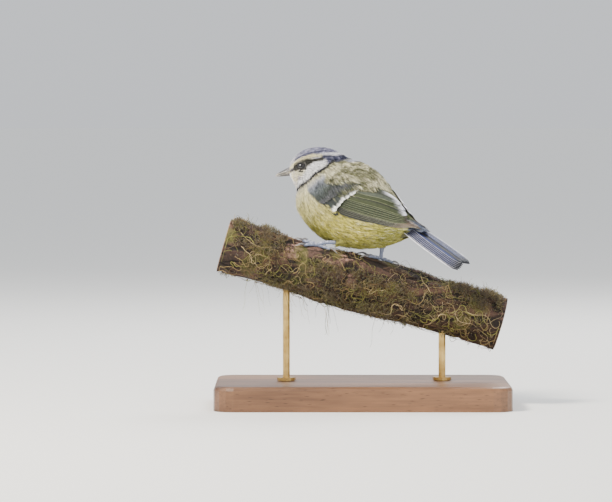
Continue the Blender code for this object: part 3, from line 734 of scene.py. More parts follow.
THIGHS = {
    "left": ((-5.0, -5.6, 76.5), (-11.6, -6.2, 73.6), 3.4, 1.5),
    "right": ((7.6, -3.6, 77.0), (8.6, -2.0, 72.6), 2.6, 1.2),
}


def thigh_path(word, steps=9):
    """The thigh's middle line and its radii, from inside the belly to the ankle."""
    start, end, wide, narrow = THIGHS[word]
    part = even_steps(steps)[:, None]
    points = np.array(start) * (1.0 - part) + np.array(end) * part
    return points, wide + (narrow - wide) * part[:, 0] ** 1.5


def unwrap(place, angle):
    """The skin's own map: round the body across, and along it upwards."""
    return np.stack([0.5 + np.asarray(angle) / 360.0 * 0.98, 0.01 + np.asarray(place) / 16.6], -1)


print("skin lies", along_body(12.0, COAT_DEPTH), "mm deep on the belly")

# %% [markdown]
# ### The skin's mesh
#
# Rings of points down the body make one closed surface, and a union fuses the thighs to it. Its
# colours and its map come from each point's nearest place on the body.

# %% Skin mesh
SKIN_ROWS, SKIN_SIDES, SKIN_END = 110, 96, 14.9
skin_places = np.linspace(0.0, SKIN_END, SKIN_ROWS)
skin_angles = np.arange(SKIN_SIDES) * 360.0 / SKIN_SIDES
ring_place, ring_angle = np.meshgrid(skin_places, skin_angles, indexing="ij")
ring_angle = np.where(ring_angle > 180.0, ring_angle - 360.0, ring_angle)
rings = on_body(ring_place, ring_angle, skin_depth(ring_place, ring_angle))
caps = np.stack([rings[0].mean(axis=0), rings[-1].mean(axis=0)])
skin_points = np.concatenate([rings.reshape(-1, 3), caps])
skin = add_piece("skin", skin_points, closed_faces(SKIN_ROWS, SKIN_SIDES), SKIN)

thigh_pieces = []
for word in THIGHS:
    thigh_pieces.append(add_piece("thigh", *tube_mesh(*thigh_path(word), 20), SKIN))


def unite(target, others):
    """Fuse closed meshes into one with a union, and remove them."""
    group = bpy.data.collections.new("others")
    bpy.context.scene.collection.children.link(group)
    for other in others:
        bpy.context.scene.collection.objects.unlink(other)
        group.objects.link(other)
    join = target.modifiers.new("join", "BOOLEAN")
    join.operation = "UNION"
    join.solver = "MANIFOLD"
    join.operand_type = "COLLECTION"
    join.collection = group
    bpy.context.view_layer.update()
    shaped = target.evaluated_get(bpy.context.evaluated_depsgraph_get())
    target.data = bpy.data.meshes.new_from_object(shaped)
    target.modifiers.clear()
    for other in list(group.objects):
        bpy.data.objects.remove(other, do_unlink=True)
    bpy.data.collections.remove(group)


unite(skin, thigh_pieces)
form_tree = KDTree(places.size)
for i, point in enumerate(form_points.reshape(-1, 3)):
    form_tree.insert(Vector(point), i)
form_tree.balance()
flat_places, flat_angles = places.ravel(), angles.ravel()


def place_on_body(points):
    """The nearest place and angle for points in millimetres."""
    index = np.array([form_tree.find(Vector(point))[1] for point in points])
    return flat_places[index], flat_angles[index]


mesh = skin.data
spots = np.empty(len(mesh.vertices) * 3, dtype=np.float32)
mesh.vertices.foreach_get("co", spots)
spots = spots.reshape(-1, 3) / MM
skin_t, skin_a = place_on_body(spots)
skin_tint = np.ones((len(spots), 4), dtype=np.float32)
skin_tint[:, :3] = blend(plumage(skin_t, skin_a), INK.down, 0.35 * ramp(6.0, 9.0, skin_t))
above_tail = ramp(14.2, 14.5, skin_t) * (np.abs(skin_a) < 90.0)
skin_tint[:, :3] = blend(skin_tint[:, :3], INK.rump_blue, above_tail)
# Under the tail the skin gets a dark olive: painted shade under the tail.
shade_under_tail = ramp(13.2, 14.2, skin_t) * ramp(88.0, 92.0, np.abs(skin_a))
skin_tint[:, :3] = blend(skin_tint[:, :3], "#56552f", shade_under_tail)
mesh.attributes.new("tint", "FLOAT_COLOR", "POINT").data.foreach_set("color", skin_tint.ravel())
corner = np.empty(len(mesh.loops), dtype=np.int32)
mesh.loops.foreach_get("vertex_index", corner)
skin_map = unwrap(skin_t, skin_a)[corner]
starts = np.empty(len(mesh.polygons), dtype=np.int32)
mesh.polygons.foreach_get("loop_start", starts)
for start, polygon in zip(starts, mesh.polygons):
    part = skin_map[start : start + polygon.loop_total]
    if np.ptp(part[:, 0]) > 0.5:
        part[part[:, 0] < 0.5, 0] = 0.99
mesh.uv_layers.new(name="OFBake").data.foreach_set("uv", skin_map.astype(np.float32).ravel())
mesh.materials.clear()
mesh.materials.append(SKIN)
mesh.shade_smooth()
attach(skin, "root")
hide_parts("head", "neck", "torso", "rump", "thigh_left", "thigh_right")
print("skin:", len(mesh.polygons), "faces")

# %% [markdown]
# ## Body feathers
#
# A tit has some two thousand feathers. Each body feather is a small rounded vane whose outer barbs
# hang loose, which is what makes the bird look soft. Hair particles could give the softness, but
# they are lost when a model is exported, so each tuft here is mesh: a thin vane below and a fan of
# tapered barbs over it. Its path is computed on the body itself, from a root in the skin up to the
# outline, so that it bends with the form and lies towards the tail.


# %% Blades and vanes
def blades(path, out, half, thick):
    """Closed, tapered blades of three sides. Path and out are (blades, rings, 3), the tip last."""
    count, rings, _ = path.shape
    ahead = unit(np.gradient(path, axis=1))
    across = unit(np.cross(out, ahead))
    up = np.cross(ahead, across)
    body = path[:, :-1]
    left = body - across[:, :-1] * half[:, :-1, None]
    right = body + across[:, :-1] * half[:, :-1, None]
    ridge = body + up[:, :-1] * thick[:, :-1, None]
    stack = np.stack([left, right, ridge], axis=2).reshape(count, -1, 3)
    points = np.concatenate([stack, path[:, -1:]], axis=1)
    one = [(0, 2, 1)]
    for r in range(rings - 2):
        low, high = 3 * r, 3 * r + 3
        for k in range(3):
            m = (k + 1) % 3
            one += [(low + k, low + m, high + m), (low + k, high + m, high + k)]
    last, tip = 3 * (rings - 2), 3 * (rings - 1)
    one += [(last + k, last + (k + 1) % 3, tip) for k in range(3)]
    size = points.shape[1]
    faces = np.array(one)[None] + (np.arange(count) * size)[:, None, None]
    return points.reshape(-1, 3), faces.reshape(-1, 3), size


def sheets(grid, out, thick):
    """Closed thin sheets. Grid and out are (sheets, rows, columns, 3)."""
    count, rows, columns, _ = grid.shape
    lift = out * 0.5 * np.asarray(thick)[..., None]
    points = np.stack([grid + lift, grid - lift], axis=1).reshape(count, -1, 3)
    cells = rows * columns
    top = np.array(grid_faces(rows, columns, False))
    rim = list(range(columns))
    rim += [(i + 1) * columns - 1 for i in range(1, rows)]
    rim += [(rows - 1) * columns + k for k in reversed(range(columns - 1))]
    rim += [i * columns for i in reversed(range(1, rows - 1))]
    sides = []
    for a, b in zip(rim, rim[1:] + rim[:1]):
        sides += [(b, a, a + cells), (b, a + cells, b + cells)]
    one = np.concatenate([top, top[:, ::-1] + cells, np.array(sides)])
    faces = one[None] + (np.arange(count) * 2 * cells)[:, None, None]
    return points.reshape(-1, 3), faces.reshape(-1, 3)


print("a vane of 5 by 3 points has", len(grid_faces(5, 3, False)), "triangles a face")

# %% [markdown]
# ### Scattered roots
#
# Roots are tried at random, evenly over the body's area, and one that falls too close to another is
# dropped. The random numbers start from a fixed seed, so that every run gives the same bird.

# %% Scattered roots
rng = np.random.default_rng(11)
TRIES = 400000


def scatter(low, high, spacing, keep):
    """Roots spread over the body between two places, no two closer than the spacing there."""
    t = rng.uniform(low, high, TRIES)
    a = rng.uniform(-180.0, 180.0, TRIES)
    grow_t, grow_a = growth(t, a)
    area = grow_t * grow_a
    chosen = rng.uniform(0.0, 1.0, TRIES) < area / area.max()
    chosen &= keep(t, a)
    t, a = t[chosen], a[chosen]
    points = on_body(t, a)
    gaps = spacing(t)
    cell = gaps.max()
    taken, kept = {}, []
    for i, (point, gap) in enumerate(zip(points, gaps)):
        key = tuple((point // cell).astype(int))
        near = [
            j
            for dx in (-1, 0, 1)
            for dy in (-1, 0, 1)
            for dz in (-1, 0, 1)
            for j in taken.get((key[0] + dx, key[1] + dy, key[2] + dz), ())
        ]
        if near and np.min(np.sum((points[near] - point) ** 2, axis=1)) < gap * gap:
            continue
        taken.setdefault(key, []).append(i)
        kept.append(i)
    return t[kept], a[kept]


print("tries for each coat:", TRIES)

# %% [markdown]
# ### Tufts
#
# Each point of a tuft is a share along it and across it, which becomes a place and an angle on the
# body. So a tuft bends with the body, and tucks in where a wing lies over it.

# %% Tufts
TUCK = 2.4
RIDGE_DROP = 0.9
SHAWL_RISE = 0.9


def tuck(place, angle):
    """How far feathers tuck in under the rear of a folded wing. The back's stand over its front."""
    low, high = wing_edges(place)
    around = np.abs(angle)
    flank = (1.0 - ramp(-1.0, 9.0, around - low)) * ramp(10.3, 11.3, place)
    rump = ramp(-10.0, 0.0, around - high) * ramp(12.6, 13.2, place)
    ridge = RIDGE_DROP * ramp(9.8, 11.2, place) * (1.0 - ramp(20.0, 34.0, around))
    shoulder = ramp(7.4, 8.0, place) * (1.0 - ramp(10.6, 11.4, place))
    shawl = SHAWL_RISE * ramp(-16.0, -6.0, around - high) * shoulder * (around < high + 15.0)
    return np.where(around > high + 15.0, TUCK * flank, 0.6 * TUCK * rump) + ridge - shawl


PATCH_WIDTH, PATCH_LENGTH = 0.0015, 0.003


def patch_map(root_map, s, u):
    """Map points of tufts: each takes a small patch of the skin's map, round its own root."""
    across = PATCH_WIDTH * np.clip(u, -1.0, 1.0)
    along = PATCH_LENGTH * (np.clip(s, 0.0, 1.0) - 0.5)
    return root_map[:, None, None] + np.stack([across, along], -1)


def on_points(values):
    """Values of the rings of blades, given to their points: three a ring, and one at the tip."""
    return np.concatenate([values[:, :, :-1].repeat(3, axis=2), values[:, :, -1:]], axis=2)


def coat(name, t, a, barbs, length, width, fluff, contrast, deep=None):
    """Tufts at roots on the body: a thin vane each, and a fan of loose barbs."""
    count = len(t)
    grow_t, grow_a = growth(t, a)
    length = length * rng.uniform(0.85, 1.15, count)
    width = width * rng.uniform(0.85, 1.15, count)
    heading = rng.normal(0.0, 0.10, count) + 0.22 * noise(on_body(t, a), 6.0, 5)
    root_depth = skin_depth(t, a) + 0.1 if deep is None else np.full(count, deep)
    tip_depth = rng.uniform(-0.35, 0.35, count) * fluff * 2.0 + (0.25 if deep is None else -0.1)
    light = rng.normal(1.0, 0.25 * contrast, count)

    def trace(s, u):
        """Places, angles and depths for shares along and across each tuft."""
        spread = (slice(None),) + (None,) * (s.ndim - 1)
        along = length[spread] * s / grow_t[spread]
        place = t[spread] + along * np.cos(heading)[spread]
        side = length[spread] * s * np.sin(heading)[spread] + 0.5 * width[spread] * u
        rise = ramp(0.0, 1.0, np.sqrt(s))
        angle = a[spread] + side / grow_a[spread]
        depth = root_depth[spread] * (1.0 - rise) + tip_depth[spread] * rise
        return place, angle, depth + (tuck(place, angle) * rise if deep is None else 0.0)

    # The vane below, a shallow shingle with a rounded end
    rows, columns = 5, 3
    s = np.linspace(0.0, 0.85, rows)
    swell = np.array([0.35, 0.85, 1.0, 0.85, 0.30])
    u = np.linspace(-1.0, 1.0, columns)
    s_grid = np.broadcast_to(s[None, :, None], (count, rows, columns))
    u_grid = np.broadcast_to((u[None, :] * swell[:, None])[None], (count, rows, columns))
    place, angle, depth = trace(s_grid, u_grid)
    depth = depth + 0.18 + 0.25 * u_grid**2
    grid = on_body(place, angle, depth)
    points, faces = sheets(grid, body_normal(place, angle), np.full(grid.shape[:-1], 0.07))
    ahead_t = place + 0.25 * length[:, None, None] / grow_t[:, None, None]
    colour = plumage(ahead_t, angle) * (1.0 - 0.9 * contrast)
    colour = blend(INK.down, colour, ramp(-0.3, 0.6, s_grid)) * light[:, None, None, None]
    tint = np.stack([colour, colour * 0.8], axis=1).reshape(-1, 3)
    root_map = unwrap(t, a)
    tuft_map = patch_map(root_map, s_grid, u_grid)[:, None].repeat(2, axis=1)
    vane_part = (points, faces, tint, tuft_map.reshape(-1, 2))

    # The barbs over it, leaving the shaft in turn to left and right
    rings = 4
    index = np.arange(barbs)
    sign = np.where(index % 2, 1.0, -1.0)
    start = np.linspace(0.05, 0.62, barbs)[None] + rng.uniform(-0.04, 0.04, (count, barbs))
    end = np.minimum(start + rng.uniform(0.34, 0.48, (count, barbs)), 1.08)
    narrowing = np.sqrt(np.clip(1.15 - end, 0.08, 1.0))
    reach = sign[None] * rng.uniform(0.15, 1.0, (count, barbs)) * narrowing
    q = even_steps(rings)[None, None]
    s = start[..., None] + (end - start)[..., None] * q
    u = reach[..., None] * q**0.8
    place, angle, depth = trace(s, u)
    depth = depth - fluff * q**2 * rng.uniform(-0.6, 1.0, (count, barbs))[..., None]
    path = on_body(place, angle, depth).reshape(count * barbs, rings, 3)
    out = body_normal(place, angle).reshape(count * barbs, rings, 3)
    taper = np.array([0.55, 1.0, 0.75, 0.0])[None]
    half = 0.5 * width[:, None] / barbs * 1.35 * rng.uniform(0.8, 1.2, (count, barbs))
    half = np.clip(half.reshape(-1, 1), 0.06, 0.26) * taper
    points, faces, _ = blades(path, out, half, half * 0.45)
    tip_colour = plumage(place[..., -1], angle[..., -1])
    shade = rng.normal(1.0, 0.4 * contrast, (count, barbs, 1)) * light[:, None, None]
    tone = 1.0 + contrast * np.array([-1.6, -0.7, 0.0, 0.45])
    colour = (tip_colour * shade)[:, :, None] * tone[None, None, :, None]
    tuft_map = on_points(patch_map(root_map, s, u))
    barb_part = (points, faces, on_points(colour).reshape(-1, 3), tuft_map.reshape(-1, 2))
    points, faces, tint, tuft_map = join_parts([vane_part, barb_part])
    piece = add_piece(name, points, faces, LOOSE_BARBS, tint, {"OFBake": tuft_map})
    print(f"{name}: {count} tufts, {len(piece.data.polygons)} triangles")


print("feathers tuck in up to", TUCK, "mm under a wing")

# %% [markdown]
# ### Where the feathers grow
#
# Roots are scattered so that no two are closer than a spacing, which grows from 0.45 mm at the bill
# to 1.1 mm on the belly. None grow in the eye's opening or where the folded wing covers the skin.
# Rows of roots would be simpler, but the eye finds rows at once, and living plumage shows none.

# %% Coat of the head and body
EYE_PLACE = 3.05
EYE_ANGLE = 77.0
EYE_RADIUS = 2.3
EYE_SINK = 1.75
LID_OPENING = 1.72


def eye_spot(side):
    """The middle of the eye's opening, and the outward direction there."""
    place, angle = np.array([EYE_PLACE]), np.array([EYE_ANGLE * side])
    return on_body(place, angle)[0], body_normal(place, angle)[0]


def clear_of_eye(t, a):
    """Whether tufts rooted here keep off the eye's opening."""
    spot = eye_spot(1)[0]
    grow_t = growth(t, a)[0]
    far = np.ones(t.shape, dtype=bool)
    for share in (0.0, 0.35, 0.7, 1.0):
        tip = t + share * along_body(t, COAT_LENGTH) * 0.8 / grow_t
        far &= np.linalg.norm(on_body(tip, np.abs(a)) - spot, axis=-1) > LID_OPENING + 0.3
    return far


def spacing(t):
    """How far apart roots stand, in millimetres."""
    return along_body(t, SPACING)


def off_wing(t, a):
    """Whether a root lies clear of the folded wing, or just under its lower edge."""
    low, high = wing_edges(t)
    around = np.abs(a)
    hidden = 3.0 - 2.0 * ramp(10.3, 11.0, t)
    bare = (t > 14.3) & (around > 60.0)
    return ((t < WING_START) | (around > low - hidden) | (around < high + 1.0)) & ~bare


REGIONS = {
    # name: first and last place, least and greatest angle, slot, barbs, width, fluff, contrast
    "coat_face": (0.12, 1.7, 0.0, 180.0, "head_plumage", 5, 0.8, 0.12, 0.2),
    "coat_crown": (1.7, 6.2, 0.0, 68.0, "head_plumage", 8, 1.2, 0.2, 0.3),
    "coat_cheeks": (1.7, 6.2, 68.0, 180.0, "head_plumage", 8, 1.2, 0.25, 0.22),
    "coat_mantle": (6.2, 9.4, 0.0, 80.0, "back_plumage", 13, 2.3, 0.35, 0.5),
    "coat_back": (9.4, 12.6, 0.0, 80.0, "back_plumage", 13, 2.3, 0.35, 0.5),
    "coat_breast": (6.2, 10.0, 80.0, 180.0, "belly_plumage", 13, 2.2, 0.6, 0.36),
    "coat_flanks": (10.0, 13.4, 80.0, 125.0, "belly_plumage", 13, 2.5, 0.6, 0.36),
    "coat_belly": (10.0, 13.4, 125.0, 180.0, "belly_plumage", 13, 2.5, 0.6, 0.36),
    "coat_rump": (12.6, 15.1, 0.0, 80.0, "back_plumage", 13, 2.5, 0.2, 0.35),
    "coat_vent": (13.4, 15.1, 80.0, 180.0, "belly_plumage", 13, 2.5, 0.35, 0.35),
}
root_t, root_a = scatter(0.12, 15.1, spacing, lambda t, a: off_wing(t, a) & clear_of_eye(t, a))
order = np.argsort(-root_t)
root_t, root_a = root_t[order], root_a[order]
print("roots:", len(root_t))
for name, (low, high, least, most, slot_name, barbs, width, fluff, contrast) in REGIONS.items():
    around = np.abs(root_a)
    here = (root_t >= low) & (root_t < high) & (around >= least) & (around < most + 0.001)
    t, a = root_t[here], root_a[here]
    coat(name, t, a, barbs, along_body(t, COAT_LENGTH), width, fluff, contrast)

# %% [markdown]
# ## Wings and tail
#
# Flight feathers are stiff vanes on a shaft that lies off centre, so that the leading web is the
# narrow one. On a folded wing they stack like a fan shut in the hand: each shows only the pale edge
# of that leading web. Every vane here is a thin closed sheet on a path over the body, tilted a
# little so that its lower edge stands proud of the vane beneath. Curved cards would be lighter, but
# thin sheets have real edges that catch the light.

# %% Wing feather paths
TIP_LIFT = 1.3
VANE_ROWS = 18
VANE_U = np.array([-1.0, -0.95, -0.88, -0.7, -0.4, -0.12, 0.0, 0.12, 0.4, 0.74, 0.88, 1.0])
# The share of its width that a vane has at its root, where its rounded end starts, and its bow
VANE_ROOT, VANE_ROUND, VANE_CURL = 0.5, 0.78, 0.1
WING_RIBS = (
    # height on the folded wing, then places and angles from under the coverts to the tips
    (0.00, (10.10, 96), (10.80, 89), (11.75, 79), (12.88, 72), (14.33, 69), (16.00, 50)),
    (0.45, (9.90, 88), (10.53, 80), (11.33, 70), (12.33, 62), (13.08, 57), (14.08, 48)),
    (0.65, (9.70, 80), (10.38, 70), (11.20, 58), (12.00, 49), (12.90, 40), (13.73, 30)),
    (0.80, (9.70, 71), (10.40, 60), (11.05, 48), (11.60, 40), (12.30, 31), (13.23, 18)),
    (1.00, (9.75, 61), (10.35, 51), (10.85, 41), (11.30, 33), (11.90, 25), (12.62, 17)),
)


def vane_width(part):
    """A feather's share of its full width along its length."""
    widen = VANE_ROOT + (1.0 - VANE_ROOT) * ramp(0.0, 0.45, part)
    tip = np.maximum(part - VANE_ROUND, 0.0) / (1.0 - VANE_ROUND)
    return widen * np.maximum(np.sqrt(np.maximum(1.0 - tip * tip, 0.0)), 0.05)


def vane_grid(point, out, width, tilt, side, shaft):
    """Points over one vane. Across runs from the lower, leading edge to the upper one."""
    part = even_steps(len(point))
    ahead = unit(np.gradient(point, axis=0))
    across = unit(np.cross(out, ahead)) * side
    up = unit(np.cross(ahead, across)) * side
    lean = math.radians(tilt)
    tilted = across * math.cos(lean) - up * math.sin(lean)
    half = 0.5 * width * vane_width(part)
    reach = (VANE_U[None] + shaft * (1.0 - VANE_U[None] ** 2)) * half[:, None]
    bow = -VANE_CURL * half[:, None] * VANE_U[None] ** 2
    grid = point[:, None] + tilted[:, None] * reach[..., None] + up[:, None] * bow[..., None]
    return grid, np.broadcast_to(up[:, None], grid.shape), reach


def rib_path(side, height, reach, depths, width):
    """A flight feather's middle line, half a width above its rib, with the outward direction."""
    levels = [row[0] for row in WING_RIBS]
    ribs = np.array([row[1:] for row in WING_RIBS], dtype=float)
    line = np.array([[np.interp(height, levels, ribs[:, k, c]) for c in (0, 1)] for k in range(6)])
    part = even_steps(VANE_ROWS)
    place, angle = spline(line, part * reach * 5.0).T
    angle = angle - 0.5 * width / growth(place, angle)[1]
    depth = depths[0] + (depths[1] - depths[0]) * part - TIP_LIFT * ramp(14.4, 15.8, place)
    return on_body(place, side * angle, depth), body_normal(place, side * angle)


def short_path(side, root, tip, depths):
    """A covert's middle line from its root to its tip, with the outward direction."""
    part = even_steps(VANE_ROWS)
    place = root[0] + (tip[0] - root[0]) * part
    angle = side * (root[1] + (tip[1] - root[1]) * part)
    depth = depths[0] + (depths[1] - depths[0]) * part
    return on_body(place, angle, depth), body_normal(place, angle)


print("a vane has", VANE_ROWS, "by", len(VANE_U), "points a face")

# %% [markdown]
# ### Vanes
#
# Many feathers join in one mesh, since a separate object for each would be slow to handle. Each
# keeps its own colours, and a strip of its own on the map.

# %% Vanes
DYE = palette(
    # flight feathers
    primary="#22251f", primary_tip="#58483a", primary_edge="#b3b19c", secondary="#1b1f18",
    secondary_web="#252c1d", secondary_edge="#a5ab7f", tertial="#31352a", tertial_web="#353c24",
    tertial_high="#474d42", tertial_edge="#e6e6ee", shaft="#211f1c",
    # coverts
    greater="#252b2a", greater_edge="#59625a", bar="#f6f6ef", alula="#232726",
    # tail; the blue of the outer webs is darkened partly as painted shade, and the dark tips are painted
    # shade
    tail_web="#323b63", tail_inner="#191b24", tail_tip="#1b1d26", tail_edge="#f0eff6",
)


def vane_colours(
    base, edge, edge_share, web=None, web_to=-0.1, tip=None, tip_from=0.8, upper_edge=None
):
    """Colours over a vane: its webs, its pale leading edge, its tip and its dark shaft."""
    s, u = np.meshgrid(even_steps(VANE_ROWS), VANE_U, indexing="ij")
    colour = np.broadcast_to(base, (*s.shape, 3)).copy()
    if web is not None:
        colour = blend(colour, web, 1.0 - ramp(web_to - 0.2, web_to + 0.2, u))
    if tip is not None:
        colour = blend(colour, tip, ramp(tip_from, tip_from + 0.12, s + 0.05 * (1.0 - np.abs(u))))
    colour = blend(colour, edge, edge_share * (1.0 - ramp(-0.99, -0.92, u)) * ramp(0.05, 0.25, s))
    if upper_edge is not None:
        colour = blend(colour, upper_edge, ramp(0.2, 0.6, u) * ramp(0.6, 0.78, s))
    return blend(colour, DYE.shaft, 0.7 * (np.abs(u) < 0.01))


class Vanes:
    """Gathers the vanes of one piece and joins them in one mesh."""

    def __init__(self):
        self.vanes = []

    def add(self, side, point, out, width, tilt, colours, thick=0.13, shaft=0.15):
        """Add a feather along a path."""
        grid, up, reach = vane_grid(point, out, width, tilt, side, shaft)
        ridge = 1.0 + 1.6 * (np.abs(VANE_U) < 0.01)
        taper = np.linspace(1.0, 0.45, len(point))
        steps = np.linalg.norm(np.diff(point, axis=0), axis=1)
        length = np.concatenate([[0.0], np.cumsum(steps)])
        vane_map = np.stack([reach, np.broadcast_to(length[:, None], reach.shape)], -1)
        colours = np.broadcast_to(colours, grid.shape)
        self.vanes.append((grid, up, thick * taper[:, None] * ridge[None], colours, vane_map))

    def join(self, name, slot_name):
        """One piece of all vanes, each with a strip of its own on the baked map."""
        grids, outs, thick, colours, vane_map = (np.array(part) for part in zip(*self.vanes))
        points, faces = sheets(grids, outs, thick)
        tint = np.stack([colours, colours * 0.85 + 0.05], axis=1).reshape(-1, 3)
        count, rows = grids.shape[:2]
        strips = 2 * count
        left = (np.arange(strips) + 0.08).reshape(count, 2, 1, 1) / strips
        across = left + (VANE_U * 0.5 + 0.5) * 0.84 / strips
        upwards = 0.01 + 0.98 * even_steps(rows)[:, None]
        baked = np.stack(np.broadcast_arrays(across, upwards), -1)
        both = vane_map[:, None].repeat(2, axis=1)
        maps = {"OFBake": baked.reshape(-1, 2), "Vane": both.reshape(-1, 2)}
        piece = add_piece(name, points, faces, HOOKED_BARBS, tint, maps)
        print(f"{name}: {count} feathers, {len(faces)} triangles")
        return piece


def vary(colour, spread=0.06):
    """A colour a little lighter or darker."""
    return np.clip(np.asarray(colour) * rng.normal(1.0, spread), 0.0, 1.0)

# %% [markdown]
# ### Flight feathers
#
# The hand carries ten primaries, of which eight show on the folded wing, and the arm six secondaries
# and three tertials. The primaries lie lowest and reach furthest. Each kind has its own tint and
# edge, and each feather differs a little, as worn feathers do. One shared shape would give a comb.

# %% Flight feathers
SIDES = ((1, "left"), (-1, "right"))
SECONDARIES = 6
PRIMARY_WIDTH, SECONDARY_WIDTH = 4.2, 4.8
PRIMARIES = (
    # height on the folded wing and reach
    (0.0, 0.88), (0.115, 0.93), (0.105, 0.97), (0.21, 1.01), (0.20, 1.04), (0.30, 1.06), (0.29, 1.06),
    (0.36, 1.04),
)
TERTIALS = (
    # height, reach, depth at the root and tip, width, web
    (0.67, 0.99, 0.75, 0.10, 4.8, DYE.tertial_web),
    (0.79, 0.97, 0.60, -0.10, 4.8, DYE.tertial_web),
    (0.92, 0.95, 0.45, -0.30, 4.6, DYE.tertial_high),
)
for side, word in SIDES:
    vanes = Vanes()
    for i, (height, reach) in enumerate(PRIMARIES):
        depths = (1.7 - 0.05 * i, 0.95 - 0.05 * i)
        point, out = rib_path(side, height, reach, depths, PRIMARY_WIDTH)
        colours = vane_colours(
            vary(DYE.primary), DYE.primary_edge, 0.9, tip=DYE.primary_tip, tip_from=0.72
        )
        vanes.add(side, point, out, PRIMARY_WIDTH, 6.5, colours, shaft=-0.25)
    piece = vanes.join(f"primaries_{word}", "wing_plumage")
    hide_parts(f"wing_{word}_primaries")

    vanes = Vanes()
    for i in range(SECONDARIES):
        depths = (1.30 - 0.06 * i, 0.55 - 0.07 * i)
        point, out = rib_path(side, 0.38 + 0.052 * i, 0.99, depths, SECONDARY_WIDTH)
        colours = vane_colours(
            vary(DYE.secondary), DYE.secondary_edge, 0.85, web=vary(DYE.secondary_web),
            tip=DYE.primary_tip, tip_from=0.94,
        )
        vanes.add(side, point, out, SECONDARY_WIDTH, 6.5, colours, shaft=-0.2)
    for height, reach, deep, high, width, web in TERTIALS:
        point, out = rib_path(side, height, reach, (deep, high), width)
        colours = vane_colours(
            vary(DYE.tertial), DYE.secondary_edge, 0.6, web=web,
            tip=DYE.tertial_edge, tip_from=0.88, upper_edge=DYE.tertial_edge,
        )
        vanes.add(side, point, out, width, 5.0, colours, shaft=-0.05)
    piece = vanes.join(f"secondaries_{word}", "wing_plumage")
    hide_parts(f"wing_{word}_secondaries")

# %% [markdown]
# ### Wing coverts
#
# The roots of the flight feathers are roofed by coverts. The greater coverts are dark vanes with
# white tips, which line up as the white wing bar. Below them lies the alula, three dark feathers on
# the bird's thumb. The small coverts towards the bend of the wing are as soft as the body's
# feathers, so they are tufts too, rooted on the wing instead of in the skin.

# %% Coverts
BAR_TIPS = np.array([(10.66, 87), (10.52, 80), (10.42, 72), (10.38, 63), (10.36, 55), (10.28, 47)])
GREATER_COVERTS = 10
for side, word in SIDES:
    vanes = Vanes()
    for i in range(3):
        root, tip = (8.9, 102.0 - 1.6 * i), (10.9 - 0.3 * i, 90.5 - 2.5 * i)
        point, out = short_path(side, root, tip, (1.3, 0.75 - 0.1 * i))
        colours = vane_colours(vary(DYE.alula), DYE.primary_edge, 0.3)
        vanes.add(side, point, out, 2.6, 6.0, colours)
    for i in range(GREATER_COVERTS):
        step = np.array([5.0 * i / (GREATER_COVERTS - 1)])
        tip = spline(BAR_TIPS, step)[0] + rng.normal(0.0, (0.03, 0.6))
        root = (tip[0] - 1.45, tip[1] + 8.0)
        point, out = short_path(side, root, tip, (0.7 + 0.12 * i, 0.22 - 0.045 * i))
        colours = vane_colours(
            vary(DYE.greater, 0.1), DYE.greater_edge, 0.6,
            tip=DYE.bar, tip_from=0.82 + 0.008 * i + rng.uniform(-0.04, 0.04),
        )
        vanes.add(side, point, out, 3.3, 6.0, colours, thick=0.10)
    piece = vanes.join(f"coverts_{word}", "wing_plumage")
    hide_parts(f"wing_{word}_coverts")

SMALL_SPACING = 0.85
t, a = scatter(
    WING_START,
    9.5,
    lambda t: np.full(t.shape, SMALL_SPACING),
    lambda t, a: wing_cover(t, a, -3.0, 1.0) > 0.02,
)
order = np.argsort(-t)
coat("small_coverts", t[order], a[order], 9, 3.1, 1.9, 0.12, 0.3, deep=0.75)

# %% [markdown]
# ### Tail
#
# Twelve feathers, stacked so that the middle pair lies on top. Each has a blue outer web, darkened
# partly as painted shade, a dark inner one and a fine pale edge, and the outermost pair is edged with
# white. Their tips are darkened with painted shade.

# %% Tail
TAIL_PAIRS = 6
TAIL_PITCH = math.radians(31.0)
TAIL_ROLL = math.radians(20.0)
TAIL_LENGTH = 28.2
TAIL_WIDTH = 4.6
TAIL_SPREAD = (0.78, 0.09)
TAIL_LIFT = 1.5
TAIL_INSIDE = 6.0
TAIL_ARCH = 0.02
TAIL_STEP = 0.24

tail_root, _, _, tail_left = (Vector(part) for part in section(TAIL_ROOT))
outermost = TAIL_PAIRS - 1
yaw = math.radians(BODY_YAW)
level = math.cos(TAIL_PITCH)
tail_ahead = Vector((math.cos(yaw) * level, -math.sin(yaw) * level, -math.sin(TAIL_PITCH)))
tail_left.normalize()
tail_up = tail_ahead.cross(tail_left).normalized()
if tail_up.z < 0.0:
    tail_up.negate()
roll = Matrix.Rotation(TAIL_ROLL, 3, tail_ahead)
tail_left, tail_up = np.array(roll @ tail_left), np.array(roll @ tail_up)
tail_root, tail_ahead = np.array(tail_root), np.array(tail_ahead)

vanes = Vanes()
tail_part = even_steps(VANE_ROWS)
for j in reversed(range(TAIL_PAIRS)):
    length = TAIL_LENGTH - 0.15 * abs(3.5 - j) ** 1.4
    for sign in (1, -1):
        out_by = sign * (j + 0.3) * (TAIL_SPREAD[0] + TAIL_SPREAD[1] * tail_part)
        low = 0.5 * TAIL_STEP if sign < 0 else 0.0
        drop = j * TAIL_STEP + low + 0.6 * tail_part**2 + TAIL_ARCH * out_by**2 - TAIL_LIFT
        along = 0.8 - TAIL_INSIDE + (length + TAIL_INSIDE) * tail_part
        point = tail_root + tail_ahead * along[:, None]
        point = point + tail_left * out_by[:, None] - tail_up * drop[:, None]
        up = np.broadcast_to(tail_up, point.shape)
        outer = DYE.tail_edge if j == outermost else vary(DYE.tail_web, 0.12)
        pale = 0.95 if j in (0, 4, outermost) else 0.65
        # The dark tips are painted shade, and the blue web's darkness is partly painted shade.
        colours = vane_colours(
            vary(DYE.tail_inner), DYE.tail_edge, pale, web=outer,
            web_to=-0.62 if j else -0.1, tip=DYE.tail_tip, tip_from=0.84,
        )
        vanes.add(sign, point, up, TAIL_WIDTH, 3.0, colours, thick=0.12, shaft=-0.3)
tail = vanes.join("tail_feathers", "tail_plumage")
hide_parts("tail")

